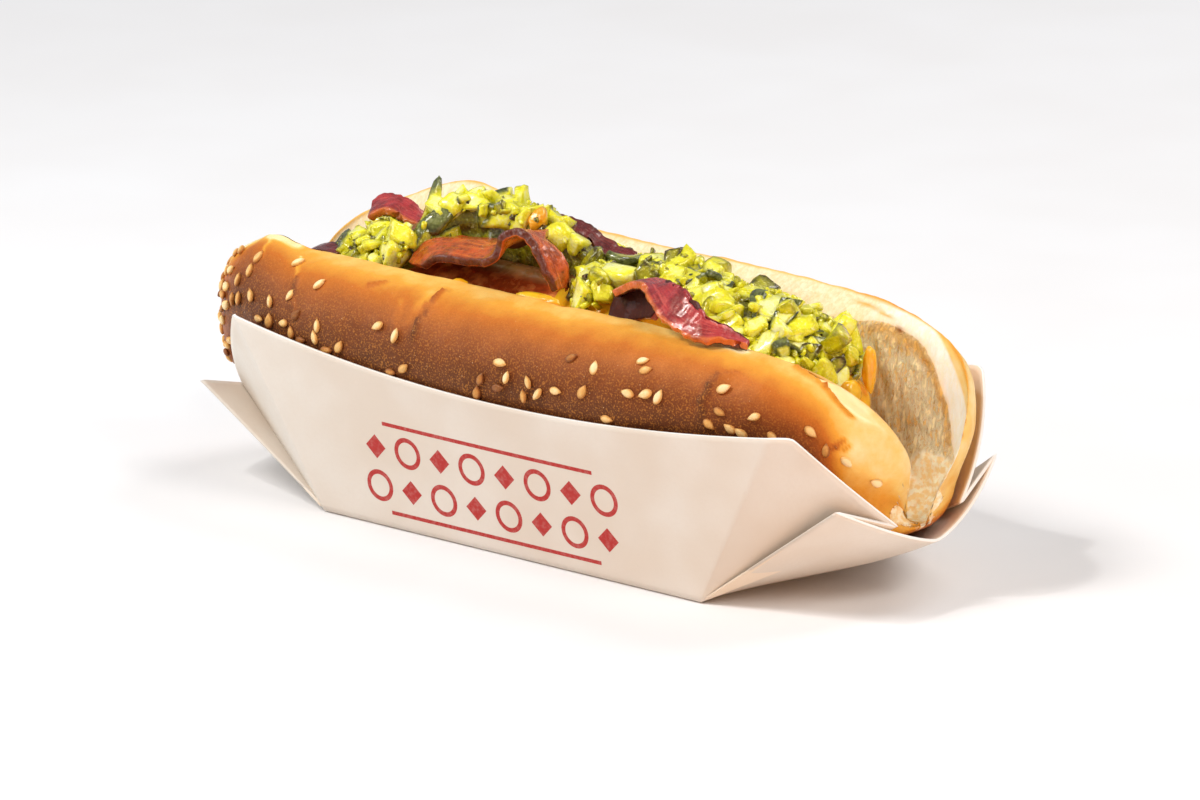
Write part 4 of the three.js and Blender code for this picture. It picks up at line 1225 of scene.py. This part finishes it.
def pickle_finish(name, gloss):
    """Wet pickle: clear flesh painted darker towards each piece's edges, painted shade where less light
    passes through, dark rind and a little pepper.
    """
    pickle = Finish(name, Subsurface_Weight=0.3, Subsurface_Scale=0.0015, Coat_Weight=0.75,
                    Subsurface_Radius=(1.0, 0.9, 0.1), Coat_Roughness=0.04,
                    Specular_Tint=(1.0, 0.9, 0.45, 1))
    veins = pickle.noise(2.0, detail=4)
    pulp = pickle.noise(0.6, detail=3)
    edge = pickle.painted("edge")
    # Painted shade: edge darkens the flesh towards each piece's edges.
    tint = pickle.painted("tint") + (veins - 0.5) * 0.5 + (pulp - 0.5) * 0.35 - edge * 0.22
    flesh = pickle.ramp(
        tint,
        # The first, brown stop is painted shade, which the core reaches behind the bacon.
        (0.0, (0.05, 0.022, 0.003)),
        (0.08, (0.1, 0.085, 0.003)),
        (0.25, (0.3, 0.27, 0.004)),
        (0.5, (0.68, 0.61, 0.008)),
        (0.75, (0.93, 0.85, 0.03)),
        (1.0, (0.98, 0.95, 0.38)),
    )
    flesh = pickle.mix(pulp.fade(0.58, 0.72, 0, 0.4), flesh, (0.97, 0.93, 0.45))
    flesh = pickle.mix(pickle.painted("pepper"), flesh, (0.9, 0.38, 0.012))
    rind = pickle.mix(veins.fade(0.35, 0.65), (0.04, 0.05, 0.01), (0.17, 0.19, 0.05))
    base = pickle.mix(pickle.painted("skin"), flesh, rind)
    return pickle.wear(Base_Color=base, Roughness=veins.fade(0.3, 0.7, 0.08, gloss),
                       Normal=pickle.bump(veins, 0.45, pickle.bump(pulp, 0.22)))


def make_relish_core():
    """The brine and crushed pulp that fill the heap between its pieces, painted dark brown as painted
    shade where bacon stands in front.
    """
    bm = bmesh.new()
    tint = bm.verts.layers.float.new("tint")

    def place(u, v):
        x = lerp(RELISH_FROM + 2, RELISH_TO - 2, eased(u))
        surface = relish_points(x, 2 * math.pi * v)
        spine = spots(x, RELISH_Y, np.interp(x, *zip(*RELISH_TOP)) - RELISH_HALF_HEIGHT)
        return lerp(spine, surface, CORE_SHARE)

    closed_loft(bm, 120, 60, place)
    for vert in bm.verts:
        x = (vert.co.x - MIDDLE.x) / MM
        in_hollow = in_a_hollow(x) and vert.co.y < (RELISH_Y - 1) * MM
        # Painted shade: behind the bacon the core goes dark brown, as the hollow there is in shadow.
        vert[tint] = -0.3 if in_hollow else 0.16
        vert.co += vert.normal * MM * 0.9 * lumps(vert.co, 4.5, 3)
    make_piece(bm, "relish_heap_core", "relish", [pickle_finish("pickle_brine", 0.2)])


def block_shape(cuts):
    """The unit block that the pieces are cut from."""
    bm = bmesh.new()
    bmesh.ops.create_cube(bm, size=1.0)
    bmesh.ops.subdivide_edges(bm, edges=bm.edges[:], cuts=cuts, use_grid_fill=True)
    return as_mesh(bm, "pickle_block")


# Blender starts this noise from the clock unless it is given a number.
noise.seed_set(7)


def chop(corner, size, skin, cut):
    """One corner of a piece in millimetres, with how near it is to an edge, which sets its painted shade,
    and to the skin.
    """
    reach = [abs(2 * part) for part in corner]
    edge = smooth_step(0.5, 1.0, sorted(reach)[1])
    drawn_in = sum(part**cut["roundness"] for part in reach) ** (-1 / cut["roundness"])
    spot = Vector(a * b * drawn_in for a, b in zip(corner, size))
    spot.yz = spot.yz * (1 + cut["taper"] * corner.x)
    spot.z *= 1 + cut["wedge"] * corner.y
    spot.x += cut["slant"] * spot.y
    spot.z += cut["bend"] * (corner.x**2 - 0.1) * size.x
    spot.yz = Matrix.Rotation(cut["twist"] * corner.x, 2) @ spot.yz
    spot += 0.13 * size.y * noise.noise_vector(corner * 1.9 + cut["offset"])
    skinned = {
        "top": corner.z > 0.4,
        "side": corner.y > 0.4,
        "rim": max(reach[0], reach[1]) > 0.9,
        "tip": corner.x > 0.2,
    }
    return spot, edge, float(skinned.get(skin, False))


def any_cut(draw, skin):
    cut = {
        "roundness": draw.uniform(4, 9),
        "taper": draw.uniform(-0.7, 0.7),
        "wedge": draw.uniform(-0.6, 0.6),
        "slant": draw.uniform(-0.5, 0.5),
        "bend": draw.uniform(-0.25, 0.35),
        "twist": draw.uniform(-0.7, 0.7),
        "offset": Vector([draw.uniform(0, 50) for _ in range(3)]),
    }
    if skin == "tip":
        cut.update(taper=-1.1, twist=0.3)
    return cut


def hides_bacon(spot, bacon, reach):
    """Whether a piece of that reach would cover a rasher or cut into it."""
    way = np.array(TOWARD_VIEWER)
    away = np.array(spot) - bacon
    along = np.clip(away @ way, 0, None)
    return (np.linalg.norm(away - along[:, None] * way, axis=1) < reach).any()


def random_pieces(draw, kind):
    """Pieces as their place on the heap, size, turns, tint and skin, like the ones that stand out."""
    for number in range(kind["count"]):
        share = (number + draw.random()) / kind["count"]
        x = lerp(RELISH_FROM + kind["from_ends"], RELISH_TO - kind["from_ends"], share)
        sizes = [draw.uniform(*limits) for limits in kind["sizes"]]
        if kind["longest_first"]:
            sizes.sort(reverse=True)
        skin = draw.choice(kind["skins"])
        yield (x, draw.uniform(-0.05, 1.06), *sizes, draw.uniform(0, 180), draw.gauss(0, kind["stood"]),
               draw.betavariate(*kind["tint"]), skin)


def lay_pieces(name, draw, kind, chosen):
    """Chops the chosen pieces and the random ones, and lays them on the heap, all in one mesh."""
    u, v = (part.ravel() for part in np.meshgrid(np.linspace(0, 1, 24), np.linspace(0, 1, 5)))
    bacon = np.concatenate([rasher_points(RASHERS[node], u, v) for node in BACON_IN_RELISH])
    block = block_shape(kind["cuts"])
    bm = bmesh.new()
    skin_layer, tint_layer, edge_layer, pepper_layer = new_layers(bm, "skin", "tint", "edge", "pepper")
    laid = []
    for x, half_turns, *size, turn, stand, tint, skin in chain(chosen, random_pieces(draw, kind)):
        size = Vector(size)
        cut = any_cut(draw, skin)
        spot = relish_spot(x, half_turns * math.pi)
        along = (relish_spot(x + 0.2, half_turns * math.pi) - spot).normalized()
        up = (spot - relish_spot(x, (half_turns + 0.01) * math.pi)).normalized()
        out = along.cross(up)
        stood = abs(math.sin(math.radians(stand)))
        spot -= out * lerp(0.25 * size.z + kind["sunk"], -0.2 * size.x, stood)
        crowded = any((other - spot).length < kind["apart"] for other in laid)
        in_gap = in_a_hollow(x) and half_turns > HOLLOW_SIDE
        in_the_way = crowded or in_gap or hides_bacon(spot, bacon, kind["reach"])
        if len(laid) >= len(chosen) and in_the_way:
            continue
        laid.append(spot)
        lie = Matrix((along, up, out)).transposed().to_quaternion()
        lie = lie @ Quaternion((0, 0, 1), math.radians(turn)) @ Quaternion((0, 1, 0), -math.radians(stand))
        for vert in stamp(bm, block):
            place, edge, skinned = chop(vert.co, size, skin, cut)
            vert.co = (lie @ place + spot) * MM + MIDDLE
            vert[skin_layer] = skinned
            vert[tint_layer] = tint
            vert[edge_layer] = edge
            vert[pepper_layer] = float(skin == "pepper")
    bpy.data.meshes.remove(block)
    bmesh.ops.recalc_face_normals(bm, faces=bm.faces[:])
    make_piece(bm, name, "relish", [pickle_flesh])


make_relish_core()
pickle_flesh = pickle_finish("pickle_flesh", 0.24)
relish_draw = random.Random(23)
lay_pieces("relish_chopped_pickle", relish_draw, CHOPPED, STAND_OUT_PIECES)
lay_pieces("relish_fine_bits", relish_draw, FINE, [])

# Studio.
# A plain sheet of pale paper lies under the hot dog. One large soft light hangs above on the left,
# others behind and on the right give the wet shine, and the camera looks along the front from the right.

PAPER_SIZE = 6.0
PAPER_BELOW = 0.0002


def make_floor():
    bm = bmesh.new()
    bmesh.ops.create_grid(bm, x_segments=1, y_segments=1, size=PAPER_SIZE)
    mesh = as_mesh(bm, "studio_floor")
    paper = Finish("studio_paper", Roughness=0.8, Specular_IOR_Level=0.2)
    base = paper.mix(paper.noise(60, detail=2).fade(0.3, 0.7), (0.81, 0.795, 0.795), (0.83, 0.82, 0.825))
    mesh.materials.append(paper.wear(Base_Color=base))
    floor = in_scene("studio_floor", mesh)
    floor.location.z = -PAPER_BELOW
    floor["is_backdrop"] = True


def stand_off(name, data, spot, away):
    """Stands a light or the camera at a spot, facing back from the way that it stands off."""
    thing = in_scene(name, data)
    thing.location = spot
    thing.rotation_euler = away.to_track_quat("Z", "Y").to_euler()
    return thing


def add_light(name, azimuth, elevation, distance, size, power, colour):
    light = bpy.data.lights.new(name, "AREA")
    light.shape = "DISK"
    light.size = size
    light.energy = power
    light.color = colour
    away = toward(azimuth, elevation)
    stand_off(name, light, away * distance, away)


CAMERA_DISTANCE = 1.942
CAMERA_LENS = 291.3
CAMERA_SENSOR = 36
AIM_LEFT = 0.0006
AIM_UP = 0.02456


def make_camera():
    right = toward(VIEW_AZIMUTH + 90, 0)
    aim = MIDDLE - right * AIM_LEFT + TOWARD_VIEWER.cross(right) * AIM_UP
    lens = bpy.data.cameras.new("camera")
    lens.lens = CAMERA_LENS
    lens.sensor_width = CAMERA_SENSOR
    spot = aim + TOWARD_VIEWER * CAMERA_DISTANCE
    bpy.context.scene.camera = stand_off("camera", lens, spot, TOWARD_VIEWER)


make_floor()
add_light("key_soft", -30, 54, 1.2, 0.4, 7.2, (1.0, 0.99, 0.97))
add_light("back_soft", 165, 50, 1.3, 0.7, 6.5, (1.0, 0.99, 0.98))
add_light("right_soft", 86, 42, 1.2, 0.35, 4.4, (1.0, 0.97, 0.92))
add_light("glint", -30, 62, 1.0, 0.05, 1.2, (1.0, 1.0, 1.0))
add_light("left_fill", -55, 25, 0.4, 0.15, 0.32, (0.88, 0.96, 1.0))
add_light("board_bounce", 60, 3, 0.35, 0.2, 0.4, (1.0, 0.5, 0.2))
air = bpy.data.worlds.new("studio_air")
air.use_nodes = True
glow = air.node_tree.nodes["Background"].inputs
glow["Color"].default_value = (0.9, 0.94, 1.0, 1)
glow["Strength"].default_value = 0.3
bpy.context.scene.world = air
bpy.context.scene.view_settings.view_transform = "Standard"
make_camera()

boxes = {"cad": cad_box, "visual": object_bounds()}
{name: [list(corner) for corner in box] for name, box in boxes.items()}
